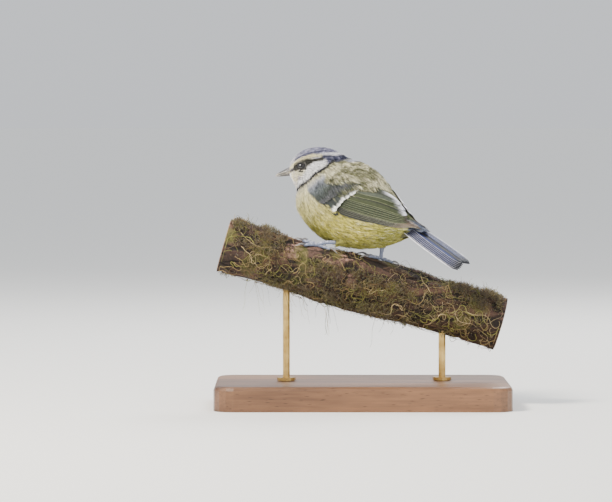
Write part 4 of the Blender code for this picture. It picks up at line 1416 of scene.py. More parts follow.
# %% [markdown]
# ## Eyes, lids and bill
#
# The head decides whether a model looks alive. A tit's eye is a dark, wet ball that shows only
# through the opening of its lids, so the ball sits in the head and the lids are rings of bare skin
# that lie on it. The iris is dark brown and hardly parts from the pupil. Gloss comes from a smooth
# cornea and the studio lights, so no highlight is painted.


# %% Eye, bill and leg materials
# Wet, with one sharp highlight from each light
CORNEA = tinted_material(
    "wet cornea", 0.04, 0.5, 0.15, 0.001, Coat_Weight=1.0, Coat_Roughness=0.02, IOR=1.376
)
# Matt and finely wrinkled
BARE_SKIN = tinted_material("bare skin of the lids", 0.55, 0.18, 0.25, 0.06)
# Smooth horn with a soft gleam along the ridge
BILL_HORN = tinted_material("bill keratin", 0.38, 0.30, 0.12, 0.02, Coat_Weight=0.15)
# Dry plates with a dull shine
LEG_SCUTES = tinted_material("scuted leg skin", 0.5, 0.22, 0.14, 0.04)
# Harder and glossier than the plates
CLAW_HORN = tinted_material("claw keratin", 0.35, 0.2, 0.12, 0.02, Coat_Weight=0.2)
print("gloss from", CORNEA.name, "to", BARE_SKIN.name)

# %% [markdown]
# ### Eyes and lids
#
# The ball is turned round its own axis of sight, so that pupil and iris are rings of its own points.
# The lids are one ring that lies on the ball inside and runs into the plumage outside.


# %% Eyes and lids
def eye_frame(side):
    """The eyeball's middle, the way it looks, the way to the bill and the way up."""
    spot, out = eye_spot(side)
    ahead = on_body(EYE_PLACE - 0.1, EYE_ANGLE * side) - on_body(EYE_PLACE + 0.1, EYE_ANGLE * side)
    ahead = unit(ahead - out * (ahead @ out))
    up = np.cross(out, ahead) * side
    return spot - out * EYE_SINK, out, ahead, up


def even_map(points, out):
    """A flat map across one direction for a small piece: its front on the left, its back beside it."""
    out = unit(np.asarray(out, dtype=float))
    side = unit(np.cross(out, [0.1, 0.2, 1.0]))
    up = np.cross(side, out)
    spots = points - points.mean(axis=0)
    front = np.stack([spots @ side, spots @ up], -1)
    front = front / (np.abs(front).max() * 2.1)
    middle = np.where((spots @ out > 0.0)[:, None], [0.25, 0.5], [0.75, 0.5])
    return front * [0.48, 0.96] + middle


EYE_RINGS, EYE_SIDES = 35, 48
LID_SIDES, LID_ROWS = 56, 9
for side, word in SIDES:
    middle, out, ahead, up = eye_frame(side)
    polar = np.radians(np.linspace(0.0, 180.0, EYE_RINGS + 2))
    around = full_turn(EYE_SIDES)
    bulge = EYE_RADIUS + 0.10 * (1.0 - ramp(0.0, 45.0, np.degrees(polar)))
    rim = ahead * np.cos(around)[:, None] + up * np.sin(around)[:, None]
    ball = middle + bulge[:, None, None] * (
        out * np.cos(polar)[:, None, None] + rim[None] * np.sin(polar)[:, None, None]
    )
    points = np.concatenate([ball[1:-1].reshape(-1, 3), ball[:1, 0], ball[-1:, 0]])
    off_axis = np.append(np.degrees(polar[1:-1]).repeat(EYE_SIDES), [0.0, 180.0])
    iris, hidden = ramp(29.0, 33.0, off_axis), ramp(52.0, 58.0, off_axis)
    tint = layered("#040404", ("#20120c", iris), ("#0d0907", hidden))
    faces = closed_faces(EYE_RINGS, EYE_SIDES)
    eye = add_piece(f"eyeball_{word}", points, faces, CORNEA, tint, {"OFBake": even_map(points, out)})
    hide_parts(f"eye_{word}")

    turns = full_turn(LID_SIDES)
    across, tall = np.cos(turns), np.sin(turns)
    opening = 1.0 / np.sqrt((across / 1.60) ** 2 + (tall / np.where(tall > 0.0, 1.02, 1.22)) ** 2)
    q = even_steps(LID_ROWS)
    reach = opening[:, None] * (1.0 - q) + 2.75 * q
    over_ball = np.sqrt(np.maximum(EYE_RADIUS**2 - reach**2, 0.0)) + 0.10
    on_head = EYE_SINK - 0.30 - reach**2 / 22.0
    height = over_ball * (1.0 - ramp(0.0, 0.8, q)) + on_head * ramp(0.0, 0.8, q)
    height = height + 0.20 * np.exp(-(((q - 0.16) / 0.14) ** 2)) + 0.05 * np.sin(q * 26.0)
    direction = ahead * across[:, None] + up * tall[:, None]
    top = middle + direction[:, None] * reach[..., None] + out * height[..., None]
    below = middle + direction[:, None] * (reach[..., None] + 0.05) + out * (height[..., None] - 0.35)
    below[:, 0] = top[:, 0] - out * 0.12 + direction * 0.12
    loop = np.concatenate([top, below[:, ::-1]], axis=1)
    faces = []
    ring = 2 * LID_ROWS
    for i in range(LID_SIDES):
        low, high = i * ring, (i + 1) % LID_SIDES * ring
        for k in range(ring):
            m = (k + 1) % ring
            faces += [(low + k, high + m, low + m), (low + k, high + k, high + m)]
    faces = np.array(faces)
    if side < 0:
        faces = faces[:, ::-1]
    margin = np.concatenate([q, q[::-1]])[None].repeat(LID_SIDES, axis=0).ravel()
    lower = np.clip(-tall, 0.0, 1.0)[:, None].repeat(ring, axis=1).ravel()
    pale = 0.4 * lower * ramp(0.1, 0.4, margin)
    tint = layered("#0d0c0b", ("#191814", ramp(0.15, 0.5, margin)), ("#4a483c", pale))
    points = loop.reshape(-1, 3)
    lids = add_piece(f"lids_{word}", points, faces, BARE_SKIN, tint, {"OFBake": even_map(points, out)})
print("eyes set", EYE_SINK, "mm deep")

# %% [markdown]
# ### Bill
#
# The bill is a short cone of two halves. The upper one has a rounded ridge and a faint hook, and
# its cutting edge closes over the lower one. It is grey, darker in the middle, with a pale tip. At
# the corners of the mouth a young bird still shows a soft pale flange, and fine bristles point
# forward over the nostrils.

# %% Bill
BILL_LENGTH = 6.5
BILL_WIDTH = 3.6
UPPER_HEIGHT = 2.3
LOWER_HEIGHT = 1.5
BILL_SINK = 1.2

bill_root, _, _, bill_left = (part for part in section(0.0))
bill_left = unit(bill_left)
between_eyes = eye_frame(1)[0] - eye_frame(-1)[0]
bill_out = unit(np.cross(between_eyes, [0.0, 0.0, 1.0]))
bill_out = unit(bill_out * (-1.0 if bill_out[0] > 0.0 else 1.0) + np.array([0.0, 0.0, -0.25]))
bill_up = unit(np.cross(bill_left, bill_out))
bill_up = bill_up if bill_up[2] > 0.0 else -bill_up


def mandible(top, height, length):
    """Points, triangles and shares along one half of the bill."""
    steps, sides = 34, 28
    sign = 1.0 if top else -1.0
    part = np.linspace(-BILL_SINK / length, 1.0, steps + 1)
    ahead = np.clip(part, 0.0, 1.0)
    taper = np.maximum((1.0 - ahead) ** 0.52, 0.05)
    bow = height * taper * (1.0 - 0.12 * np.sin(np.pi * ahead))
    half = 0.5 * BILL_WIDTH * np.maximum((1.0 - ahead) ** 0.6, 0.06)
    turn = full_turn(sides)
    upper = np.sin(turn) > 0.0
    ridge = np.abs(np.sin(turn)) ** 0.9
    over = np.where(upper, ridge, -0.10 * np.abs(np.sin(turn)))
    hook = -0.35 * np.maximum(ahead - 0.75, 0.0) ** 2 / 0.0625 if top else 0.0 * ahead
    spot = bill_root + bill_out * (length * part)[:, None] + bill_up * (sign * 0.12 + hook)[:, None]
    rings = spot[:, None] + bill_left * (np.cos(turn)[None] * half[:, None])[..., None]
    rings = rings + bill_up * sign * (over[None] * bow[:, None])[..., None]
    points = np.concatenate([rings.reshape(-1, 3), spot[:1], spot[-1:] + bill_out * 0.1])
    faces = closed_faces(steps + 1, sides)
    share = np.concatenate([part.repeat(sides), part[:1], part[-1:]])
    cutting = np.where(upper, np.abs(np.cos(turn)) ** 6, 1.0)
    edge = np.concatenate([np.tile(cutting, steps + 1), [0, 1]])
    return points, faces if top else faces[:, ::-1], share, edge


for top, name, height, node in (
    (True, "bill_ridge", UPPER_HEIGHT, "bill_upper"),
    (False, "bill_floor", LOWER_HEIGHT, "bill_lower"),
):
    length = BILL_LENGTH + 0.25 if top else BILL_LENGTH * 0.96
    points, faces, share, edge = mandible(top, height, length)
    tint = layered(
        "#504e51",
        ("#333336" if top else "#47464a", ramp(0.05, 0.35, share) * (1.0 - ramp(0.45, 0.85, share))),
        ("#b0aaa0", ramp(0.62, 1.0, share)),
        ("#9a9486", 0.45 * edge),
    )
    if top:
        nostril = bill_root + bill_out * 1.0 + bill_up * UPPER_HEIGHT * 0.55
        aside = (points - nostril) @ bill_left
        apart = (points - nostril) - np.outer(aside, bill_left)
        apart = np.linalg.norm(apart * [1.0, 1.0, 1.5], axis=1)
        pit = (1.0 - ramp(0.2, 0.45, apart)) * (np.abs(aside) > 0.5)
        points = points - np.sign(aside)[:, None] * bill_left * 0.25 * pit[:, None]
        # The nostril is painted near black: painted shade in its opening, over a shallow dent.
        tint = blend(tint, "#141214", 0.9 * pit)
    piece = add_piece(name, points, faces, BILL_HORN, tint, {"OFBake": even_map(points, bill_left)})
    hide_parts(node)

for side, word in SIDES:
    corner_path = np.array(
        [
            bill_root + bill_out * 1.5 + bill_left * side * 1.35,
            bill_root + bill_out * 0.6 + bill_left * side * 1.62,
            on_body(0.35, 92.0 * side, 0.15),
            on_body(0.95, 96.0 * side, 0.25),
        ]
    )
    smooth = spline(corner_path, np.linspace(0.0, 3.0, 14))
    swell = 0.26 * np.sin(np.pi * np.linspace(0.06, 0.94, 14)) + 0.05
    points, faces = tube_mesh(smooth, swell, 10)
    tint = np.broadcast_to(linear("#b9ac86"), points.shape)
    maps = {"OFBake": even_map(points, bill_left)}
    flange = add_piece(f"gape_{word}", points, faces, BARE_SKIN, tint, maps)

count = 44  # bristles
t0 = rng.uniform(0.05, 0.5, count)
at_nostril = rng.uniform(size=count) < 0.7
a0 = np.where(at_nostril, rng.uniform(15.0, 75.0, count), rng.uniform(85.0, 110.0, count))
a0 = a0 * np.where(np.arange(count) % 2, 1.0, -1.0)
roots = on_body(t0, a0, 0.3)
lie = unit(bill_out + 0.35 * body_normal(t0, a0) + rng.normal(0.0, 0.08, (count, 3)))
share = even_steps(5)[None, :, None]
reach = rng.uniform(1.2, 2.4, count)[:, None, None]
path = roots[:, None] + lie[:, None] * share * reach
path = path - 0.35 * body_normal(t0, a0)[:, None] * share**2 * reach * 0.5
half = 0.075 * np.array([1.0, 0.9, 0.7, 0.4, 0.0])[None] * np.ones((count, 1))
points, faces, size = blades(path, body_normal(t0, a0)[:, None].repeat(5, axis=1), half, half * 0.8)
tint = np.broadcast_to(blend(INK.forehead, INK.stripe, 0.45), points.shape)
maps = {"OFBake": on_each(unwrap(t0, a0), size)}
bristles = add_piece("bristles", points, faces, LOOSE_BARBS, tint, maps)
print("bill", BILL_LENGTH, "mm long")

# %% [markdown]
# ## The branch
#
# The perch is a dead branch about 24 mm thick, with flaking bark, sawn at both ends for this model.
# Bark is relief more than colour: long furrows, plates that lift at their edges, and crumbs in the
# hollows. All of that is moved geometry here, so that it also shows along the outline. The colour
# follows the height, darker in the hollows and paler on the ridges. Painted sunlight lies on the top
# near the front foot and in faint patches over the ridges, and painted shade darkens the underside.

# %% Branch form
BRANCH_HALF = 62.0
BRANCH_MID_Z = 54.3
BRANCH_SLOPE = 0.286
BRANCH_RADIUS = 12.2
BRANCH_LEAN = np.array([BRANCH_SLOPE, 0.0, 1.0]) / math.hypot(BRANCH_SLOPE, 1.0)


def branch_centre(x):
    """The branch's middle line."""
    height = BRANCH_MID_Z - BRANCH_SLOPE * x + 0.3 * np.sin(x / 16.0)
    return np.stack([x, 1.2 * np.sin(x / 21.0), height], -1)


def branch_point(x, turn, lift=0.0):
    """Points above the bark, turned from the top towards -Y, in radians."""
    x, turn = np.broadcast_arrays(np.asarray(x, dtype=float), np.asarray(turn, dtype=float))
    ridge = 0.3 * np.sin(5.0 * turn + x / 9.0) + 0.10 * np.sin(9.0 * turn - x / 5.0)
    swell = 0.35 * np.sin(x / 11.0 + 1.0) + 0.45 * np.sin(2.0 * turn + x / 17.0 + 1.8)
    radius = BRANCH_RADIUS + ridge + swell + lift
    upwards, sideways = np.cos(turn)[..., None], np.sin(turn)[..., None]
    reach = BRANCH_LEAN * upwards - np.array([0.0, 1.0, 0.0]) * sideways
    return branch_centre(x) + reach * radius[..., None]


branch_mesh = frame["nodes"]["perch_branch"].data
bark_tree = BVHTree.FromPolygons(
    [vert.co / MM for vert in branch_mesh.vertices],
    [tuple(face.vertices) for face in branch_mesh.polygons],
)
print("branch slopes", round(math.degrees(math.atan(BRANCH_SLOPE)), 1), "degrees")

# %% [markdown]
# ## Legs and feet
#
# A songbird's leg below its feathers is a bare shank with one row of overlapping scutes in front,
# three toes ahead and one behind, each with its own small scutes above, pads below and a curved
# claw. Each toe walks over the bark here: it takes short steps along the surface, so that it wraps
# the branch as a living toe does.

# %% Feet
GAP = 0.3
TARSUS_RADIUS = 0.95
TOE_RADIUS = 0.72
TOE_STEPS = 6
CLAW_LENGTH = 3.0
CLAW_RADIUS = 0.46
CLAW_STEPS = 4
CLAW_RINGS, CLAW_SIDES = 22, 12
FOOT_VIEW = (0.0, -1.0, 0.2)
LEGS = {
    # ankle, foot, then heading, length and bend of each toe
    "left": (
        (-12.1, -6.3, 73.4), (-20.2, -5.2),
        ((8, 8.5, 8), (-22, 8.0, -6), (38, 7.5, 8), (195, 7.0, 10)),
    ),
    "right": (
        (8.8, -1.3, 69.4), (8.2, -0.6),
        ((6, 8.5, 6), (-24, 7.8, -8), (34, 7.4, 8), (184, 6.6, 6)),
    ),
}


def foot_distance(points, word, ahead=0.0):
    """How far points are from a foot, or from a spot ahead of it, as seen from above."""
    foot_x, foot_y = LEGS[word][1]
    return np.hypot(points[..., 0] - foot_x + ahead, points[..., 1] - foot_y)


def walk(start, heading, length, bend, steps):
    """Points and outward directions of a path over the bark."""
    spot, out = bark_tree.find_nearest(start)[:2]
    path = [(spot, out)]
    turn = math.radians(heading)
    ahead = Vector((-math.cos(turn), math.sin(turn), 0.0))
    for _ in range(steps):
        ahead = (Matrix.Rotation(-math.radians(bend) / steps, 3, out) @ ahead).normalized()
        ahead = (ahead - out * ahead.dot(out)).normalized()
        spot, out = bark_tree.find_nearest(spot + ahead * length / steps)[:2]
        path.append((spot, out))
    return path


def scuted(points, radii, plates, sides, pad=0.0):
    """A tube with overlapping plates on its upper half and pads on the lower one."""
    steps = len(points)
    part = even_steps(steps)[:, None]
    turn = full_turn(sides)[None]
    upper = np.clip(np.sin(turn), 0.0, 1.0) ** 0.5
    step = (part * plates) % 1.0
    plate = upper * (0.16 * (1.0 - step) ** 2 - 0.05)
    lower = np.clip(-np.sin(turn), 0.0, 1.0)
    bulge = lower * pad * np.sin(part * math.pi * 3.0) ** 2
    verts, faces = tube_mesh(points, radii, sides, 1.0 + plate + bulge)
    edge = np.concatenate([((1.0 - step) ** 4 * upper).ravel(), [0.0, 0.0]])
    groove = np.concatenate([(step**8 * np.ones_like(turn)).ravel(), [0.0, 0.0]])
    joint = np.concatenate([(np.sin(part * math.pi * 3.0) ** 8 * upper).ravel(), [0.0, 0.0]])
    # The plate edges and knuckles on the upper side are pale with painted highlights.
    painted_highlight = np.clip(0.7 * edge + 0.8 * joint, 0.0, 1.0)
    return verts, faces, layered("#788098", ("#cdd0e0", painted_highlight), ("#3c404c", 0.85 * groove))


for word, (ankle, foot, toes) in LEGS.items():
    above = bark_tree.ray_cast(Vector((*foot, 200.0)), Vector((0.0, 0.0, -1.0)))
    base = np.array(above[0] + above[1] * (TOE_RADIUS * 1.14 + GAP * 0.5))
    part = np.linspace(-0.12 if word == "left" else -0.9, 1.0, 60)[:, None]
    shank = np.array(ankle) * (1.0 - part) + base * part
    shank[:, 2] += 0.5 * np.sin(np.pi * np.clip(part[:, 0], 0.0, 1.0))
    radii = TARSUS_RADIUS * (1.0 - 0.16 * np.sin(np.pi * np.clip(part[:, 0], 0.0, 1.0)))
    radii[-3:] *= (0.98, 0.85, 0.5)
    groups = [scuted(shank, radii, 9, 18)]
    for number, (heading, length, bend) in enumerate(toes, 1):
        path = walk(above[0], heading, length + CLAW_LENGTH, bend, TOE_STEPS + CLAW_STEPS)
        rows = []
        for i, (spot, out) in enumerate(path[: TOE_STEPS + 1]):
            radius = TOE_RADIUS * (1.08 if i % 2 == 0 else 0.96) * (1.0 - 0.22 * i / (TOE_STEPS + 1))
            rows.append([*(spot + out * (radius + GAP * 0.3)), radius])
        fine = spline(np.array(rows), np.linspace(0.0, TOE_STEPS, 54))
        fine[-2:, 3] *= (0.92, 0.7)
        groups.append(scuted(fine[:, :3], fine[:, 3], round(length * 1.6), 14, pad=0.22))
        rows = []
        for i, (spot, out) in enumerate(path[TOE_STEPS:]):
            share = i / CLAW_STEPS
            radius = CLAW_RADIUS * (1.0 - share) ** 0.7 + 0.05
            arch = 0.45 * (1.0 - share) + 0.6 * math.sin(math.pi * min(share * 1.2, 1.0))
            rows.append([*(spot + out * (GAP * 0.3 + radius + arch)), radius])
        fine = spline(np.array(rows), np.linspace(0.0, CLAW_STEPS, CLAW_RINGS))
        points, faces = tube_mesh(fine[:, :3], fine[:, 3], CLAW_SIDES)
        share = np.concatenate([even_steps(CLAW_RINGS).repeat(CLAW_SIDES), [0.0, 1.0]])
        tint = blend("#6c6b70", "#a7a29a", ramp(0.2, 1.0, share))
        maps = {"OFBake": even_map(points, FOOT_VIEW)}
        piece = add_piece(f"claw_horn_{word}_{number}", points, faces, CLAW_HORN, tint, maps)
        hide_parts(f"claw_{word}_{number}")
    points, faces, tint = join_parts(groups)
    maps = {"OFBake": even_map(points, FOOT_VIEW)}
    leg = add_piece(f"foot_{word}", points, faces, LEG_SCUTES, tint, maps)
    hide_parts(f"leg_{word}")
print("feet set on the bark")

# %% [markdown]
# ### Thigh feathers
#
# The belly's feathers hide the thighs down to the ankles, where short loose tufts ring the leg. They
# are rooted round the thigh instead of on the body, so they get a cell of their own. They are
# the same blades as the coat's.

# %% Thigh feathers
THIGH_TUFTS = 150
for word in THIGHS:
    points, radii = thigh_path(word, 13)
    count = THIGH_TUFTS
    s0 = rng.uniform(0.05, 0.95, count)
    turn = rng.uniform(0.0, 2.0 * np.pi, count)
    ahead = unit(points[-1] - points[0])
    side = unit(np.cross(ahead, [0.0, 0.0, 1.0]))
    over = np.cross(side, ahead)
    out = side * np.cos(turn)[:, None] + over * np.sin(turn)[:, None]
    bunch = 7
    share = even_steps(4)
    fan = rng.normal(0.0, 0.25, (count, bunch))
    length = rng.uniform(1.6, 2.8, (count, bunch))
    line = points[-1] - points[0]
    s = s0[:, None, None] + share * length[..., None] / np.linalg.norm(line)
    middle = points[0] + line * s[..., None]
    radius = np.interp(s, even_steps(13), radii) + 0.25 + 0.35 * share * (1.0 - share) * 4.0
    angle = turn[:, None, None] + fan[..., None] * share
    way = side * np.cos(angle)[..., None] + over * np.sin(angle)[..., None]
    path = (middle + way * radius[..., None]).reshape(-1, 4, 3)
    half = rng.uniform(0.12, 0.2, (count * bunch, 1)) * np.array([0.7, 1.0, 0.7, 0.0])
    verts, faces, size = blades(path, way.reshape(-1, 4, 3), half, half * 0.5)
    shade = rng.normal(1.0, 0.1, (count * bunch, 1))
    # The thigh tufts take the belly's ink, which is partly painted shade of the underside.
    tint = on_each(blend(INK.belly, INK.down, 0.25) * shade, size)
    maps = {"OFBake": on_each(unwrap(*place_on_body(path[:, 0])), size)}
    piece = add_piece(f"coat_thigh_{word}", verts, faces, LOOSE_BARBS, tint, maps)
print("thighs feathered")

# %% [markdown]
# ### Bark and moss materials
#
# Weathered bark has two grains: fibres along the branch, and gritty crumbs in between. Noise that is
# stretched along the branch gives the first and scattered cells give the second, so no painted
# texture is needed. Moss and rootlets take nearly all their colour from the mesh.


# %% Bark and moss materials
def bark_material(name):
    """Weathered bark: mesh colours, long fibres along the branch and gritty crumbs."""
    made, tree, shader = start_material(name, 0.85)
    fibre = add_noise(tree, object_spots(tree, (0.3, 1.0, 1.0)), 1800.0, 6.0)
    both = add_math(tree, "ADD", fibre, add_cells(tree, object_spots(tree), 1400.0))
    use_tint(tree, shader, add_range(tree, both, 0.4, 1.2, 0.6, 1.4))
    use_relief(tree, shader, both, 0.8, 0.25)
    return made


# Dry and rough, dark in its furrows
BARK = bark_material("weathered bark")
# Soft, with a faint glow at the edge of a mat
MOSS = tinted_material("dry moss", 0.8, 0.4, 0.25, 0.05, Sheen_Weight=0.2)
# Wiry, a little smoother than the bark
ROOTLET = tinted_material("dead rootlets", 0.7, 0.6, 0.25, 0.05)
print("branch materials:", BARK.name, MOSS.name, "and", ROOTLET.name)

# %% [markdown]
# ### Bark
#
# The furrows are thin valleys of a noise drawn out along the branch, and the flakes are steps of
# another. Both are flatter where the feet stand, so that the toes rest on the bark.

# %% Bark
BARK_ALONG, BARK_AROUND = 330, 170
bark_x = np.linspace(-BRANCH_HALF, BRANCH_HALF, BARK_ALONG)
x_grid, turn_grid = np.meshgrid(bark_x, full_turn(BARK_AROUND), indexing="ij")
surface = branch_point(x_grid, turn_grid)
long_spots = surface * [0.28, 1.0, 1.0]
furrow = 1.0 - np.abs(noise(long_spots, 2.4, 21))
furrow = ramp(0.72, 0.98, furrow)
plates = noise(surface * [0.6, 1.0, 1.0], 4.5, 22)
flake = np.floor(plates * 3.0 + 0.35 * noise(surface, 1.3, 23)) / 3.0
crumbs = noise(surface, 0.7, 24) * 0.10 + noise(surface, 0.35, 25) * 0.05
relief = 0.28 * flake - 0.75 * furrow + crumbs - 0.05
under_feet = np.zeros_like(relief)
for word in LEGS:
    close = 1.0 - ramp(8.0, 12.0, foot_distance(surface, word))
    under_feet = np.maximum(under_feet, close * (np.cos(turn_grid) > 0.0))
relief = relief * (1.0 - 0.6 * under_feet) - 0.08 * under_feet
rings = branch_point(x_grid, turn_grid, relief)
ends = branch_centre(np.array([-BRANCH_HALF, BRANCH_HALF]))
points = np.concatenate([rings.reshape(-1, 3), ends])
faces = closed_faces(BARK_ALONG, BARK_AROUND)
high = ramp(-0.5, 0.4, relief)
# Painted sunlight: a pale pink pool on the top of the bark near the front foot, and faint pale patches
# over the ridges.
sun_pool_near_foot = ramp(-44.0, -32.0, x_grid) * (1.0 - ramp(-10.0, 4.0, x_grid))
sun_pool_near_foot = sun_pool_near_foot * ramp(0.0, 0.7, np.cos(turn_grid))
painted_sunlight = np.maximum(0.2 * ramp(0.1, 0.7, noise(surface, 6.0, 26)), sun_pool_near_foot) * ramp(0.2, 0.7, high)
colour = layered(
    "#1a120d",
    ("#5a4033", high),
    ("#b18a7b", 0.85 * painted_sunlight),
    ("#5d5a2a", 0.6 * ramp(0.15, 0.6, noise(surface, 8.0, 27))),
    # Painted shade: the underside of the branch is darker.
    ("#1d1511", 0.45 * ramp(-0.1, 0.6, -np.cos(turn_grid))),
)
tint = np.concatenate([colour.reshape(-1, 3), np.broadcast_to(linear("#7a5c45"), (2, 3))])
bark_map = np.stack([turn_grid / (2.0 * np.pi) * 0.98 + 0.01, (x_grid / BRANCH_HALF * 0.49) + 0.5], -1)
bark_map = np.concatenate([bark_map.reshape(-1, 2), [[0.5, 0.005], [0.5, 0.995]]])[faces.ravel()]
corners = bark_map.reshape(-1, 3, 2)
seam = np.ptp(corners[..., 0], axis=1) > 0.5
across = corners[seam, :, 0]
corners[seam, :, 0] = np.where(across < 0.5, 0.995, across)
bark = add_piece("bark", points, faces, BARK, tint, {"OFBake": corners.reshape(-1, 2)})
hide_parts("perch_branch")
print("bark:", len(faces), "triangles, relief", relief.min().round(2), "to", relief.max().round(2), "mm")

# %% [markdown]
# ### Sawn ends
#
# The branch goes on in the photograph and is sawn off here. A saw leaves a flat face with yearly
# rings and fine parallel marks. Each face is a thin disc set on the end of the bark, and its rings
# follow the branch's own outline a little, since a map measures them from the middle.


# %% Sawn ends
def sawn_material(name, ring_mm, saw_mm):
    """Sawn wood across the grain: yearly rings about one ring apart, and fine saw marks."""
    made, tree, shader = start_material(name, 0.7)
    spots = add_node(tree, "ShaderNodeUVMap", uv_map="Rings").outputs["UV"]
    split = add_node(tree, "ShaderNodeSeparateXYZ", {"Vector": spots})
    radius = add_node(tree, "ShaderNodeVectorMath", {0: spots}, operation="LENGTH").outputs["Value"]
    bent = add_math(tree, "MULTIPLY_ADD", add_noise(tree, spots, 0.35), 1.6, radius)
    wave = add_math(tree, "SINE", add_math(tree, "MULTIPLY", bent, 2.0 * math.pi / ring_mm))
    tree.links.new(add_shades(tree, wave, "#8d6a49", "#c4a075"), shader.inputs["Base Color"])
    turns = add_math(tree, "MULTIPLY", split.outputs["Y"], 2.0 * math.pi / saw_mm)
    use_relief(tree, shader, add_math(tree, "SINE", turns), 0.3, 0.08)
    return made


# Pale and clean, so that the cut reads as fresh against the bark
SAWN = sawn_material("sawn branch wood", 0.9, 0.8)
SAWN_ROWS, SAWN_SIDES = 16, 96
for sign, word in ((-1, "high"), (1, "low")):
    x = sign * (BRANCH_HALF + 0.1)
    rows = np.linspace(0.03, 0.93, SAWN_ROWS)
    rim = branch_point(np.full(SAWN_SIDES, x), full_turn(SAWN_SIDES))
    middle = branch_centre(np.array(x))
    grid = middle + (rim - middle)[None] * rows[:, None, None]
    saw_relief = 0.05 * noise(grid, 0.8, 31)
    out = np.broadcast_to(np.array([float(sign), 0.0, 0.0]), grid.shape)
    top = grid + out * (0.08 + saw_relief[..., None])
    low = grid - out * 0.4
    loop = np.concatenate([top, low[::-1]], axis=0)
    points = loop.reshape(-1, 3)
    pairs = [(k, (k + 1) % SAWN_SIDES) for k in range(SAWN_SIDES)]
    end = (2 * SAWN_ROWS - 1) * SAWN_SIDES
    faces = grid_faces(2 * SAWN_ROWS, SAWN_SIDES, True)
    faces += [(end + k, end + m, m) for k, m in pairs]
    faces += [(end + k, m, k) for k, m in pairs]
    faces = np.array(faces)
    if sign > 0:
        faces = faces[:, ::-1]
    flat = np.stack([points[:, 1] - middle[1], points[:, 2] - middle[2]], -1)
    maps = {"OFBake": even_map(points, [sign, 0, 0]), "Rings": flat}
    piece = add_piece(f"sawn_end_{word}", points, faces, SAWN, None, maps)
print("ends sawn")

# %% [markdown]
# ## Moss and rootlets
#
# What covers the branch is a felt of moss with dead rootlets caught in it. Moss is thousands of
# short leafy shoots, yellow-green where they are fresh and brown below, with painted shade making the
# lowest leaves near black, and rootlets are thin wiry strands that hug the bark, loop off it and hang.
# Both are grown from points of the bark, so they sit on it from every side.

# %% Moss mats
MATS = {
    # name: first and last x, middle and half width in degrees, thickness, shoots
    "high_end": (-60.5, -36.5, 20.0, 62.0, 2.6, 3000),
    "front": (-26.0, 30.0, 86.0, 26.0, 1.8, 2400),
    "underside": (-46.0, 28.0, 137.0, 19.0, 2.2, 1900),
    "low_end": (34.0, 60.5, 14.0, 58.0, 2.8, 3000),
}


def shoots(name, x, turn, height, green):
    """Leafy shoots: a bunch of small tapered leaves up each stem."""
    count = len(x)
    leaves, rings = 5, 4
    out = unit(branch_point(x, turn, 1.0) - branch_point(x, turn, 0.0))
    root = branch_point(x, turn, 0.05)
    lean = unit(out + rng.normal(0.0, 0.55, (count, 3)) + np.array([0.0, 0.0, 0.25]))
    up_stem = np.linspace(0.0, 0.75, leaves)[None, :, None]
    stem = root[:, None] + lean[:, None] * height[:, None, None] * up_stem
    way = unit(lean[:, None] + rng.normal(0.0, 0.75, (count, leaves, 3)))
    way[:, 0] = lean
    reach = height[:, None] * rng.uniform(0.3, 0.55, (count, leaves))
    reach[:, 0] = height * 1.05
    share = even_steps(rings)
    path = stem[:, :, None] + way[:, :, None] * (reach[..., None] * share)[..., None]
    path[:, 0] = root[:, None] + lean[:, None] * (height[:, None] * 1.05 * share)[..., None]
    curl = rng.normal(0.0, 0.35, (count, leaves, 3))
    path = path + curl[:, :, None] * (reach[..., None] * share**2)[..., None]
    path = path.reshape(-1, rings, 3)
    side = rng.normal(0.0, 1.0, (count * leaves, 1, 3)).repeat(rings, axis=1)
    half = rng.uniform(0.05, 0.14, (count, leaves))
    half[:, 0] = 0.07
    half = half.reshape(-1, 1) * np.array([0.8, 1.0, 0.7, 0.0])
    points, faces, size = blades(path, side, half, half * 0.4)
    dry = rng.uniform(0.0, 1.0, count)
    tip = blend("#6f6e27", "#a39a48", rng.uniform(0.0, 1.0, count))
    tip = blend(blend("#4a3620", "#937c4e", dry), tip, green)
    # The lowest leaves are near black: brown dead moss, darkened further with painted shade deep in the
    # mat.
    low = blend("#160f09", "#2f2d12", green * (1.0 - 0.5 * dry))
    tone = np.linspace(0.25, 1.0, leaves)
    leaf = blend(low[:, None], tip[:, None], np.broadcast_to(tone[None], (count, leaves)))
    tint = on_each(leaf * rng.normal(1.0, 0.15, (count, leaves, 1)), size)
    spot = np.stack([turn / (2.0 * np.pi) % 1.0, x / BRANCH_HALF * 0.45 + 0.5], -1)
    jitter = rng.uniform(-0.0015, 0.0015, (count, leaves * size, 2))
    tuft_map = (spot[:, None] + jitter).reshape(-1, 2)
    piece = add_piece(name, points, faces, MOSS, tint, {"OFBake": np.clip(tuft_map, 0, 1)})
    print(f"{name}: {count} shoots, {len(faces)} triangles")
    return piece


for name, (start, stop, middle, reach, thick, count) in MATS.items():
    part_x, part_t = rng.uniform(-1.0, 1.0, (2, count))
    x = 0.5 * (start + stop) + 0.5 * (stop - start) * part_x
    turn = np.radians(middle + reach * part_t)
    dome = (1.0 - part_t**4) * (1.0 - part_x**6)
    clump = ramp(-0.5, 0.6, noise(branch_point(x, turn), 4.0, 41))
    kept = rng.uniform(size=count) < 0.12 + 0.88 * clump
    x, turn, dome, clump = x[kept], turn[kept], dome[kept], clump[kept]
    height = (0.7 + 0.62 * thick * dome * (0.3 + clump)) * rng.uniform(0.6, 1.3, len(x))
    patch = noise(branch_point(x, turn), 5.0, 42)
    green = np.clip(0.30 + 0.9 * patch + rng.normal(0.0, 0.2, len(x)), 0.0, 1.0)
    piece = shoots(f"moss_{name}", x, turn, height, green)
    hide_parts(f"perch_moss_{name}")

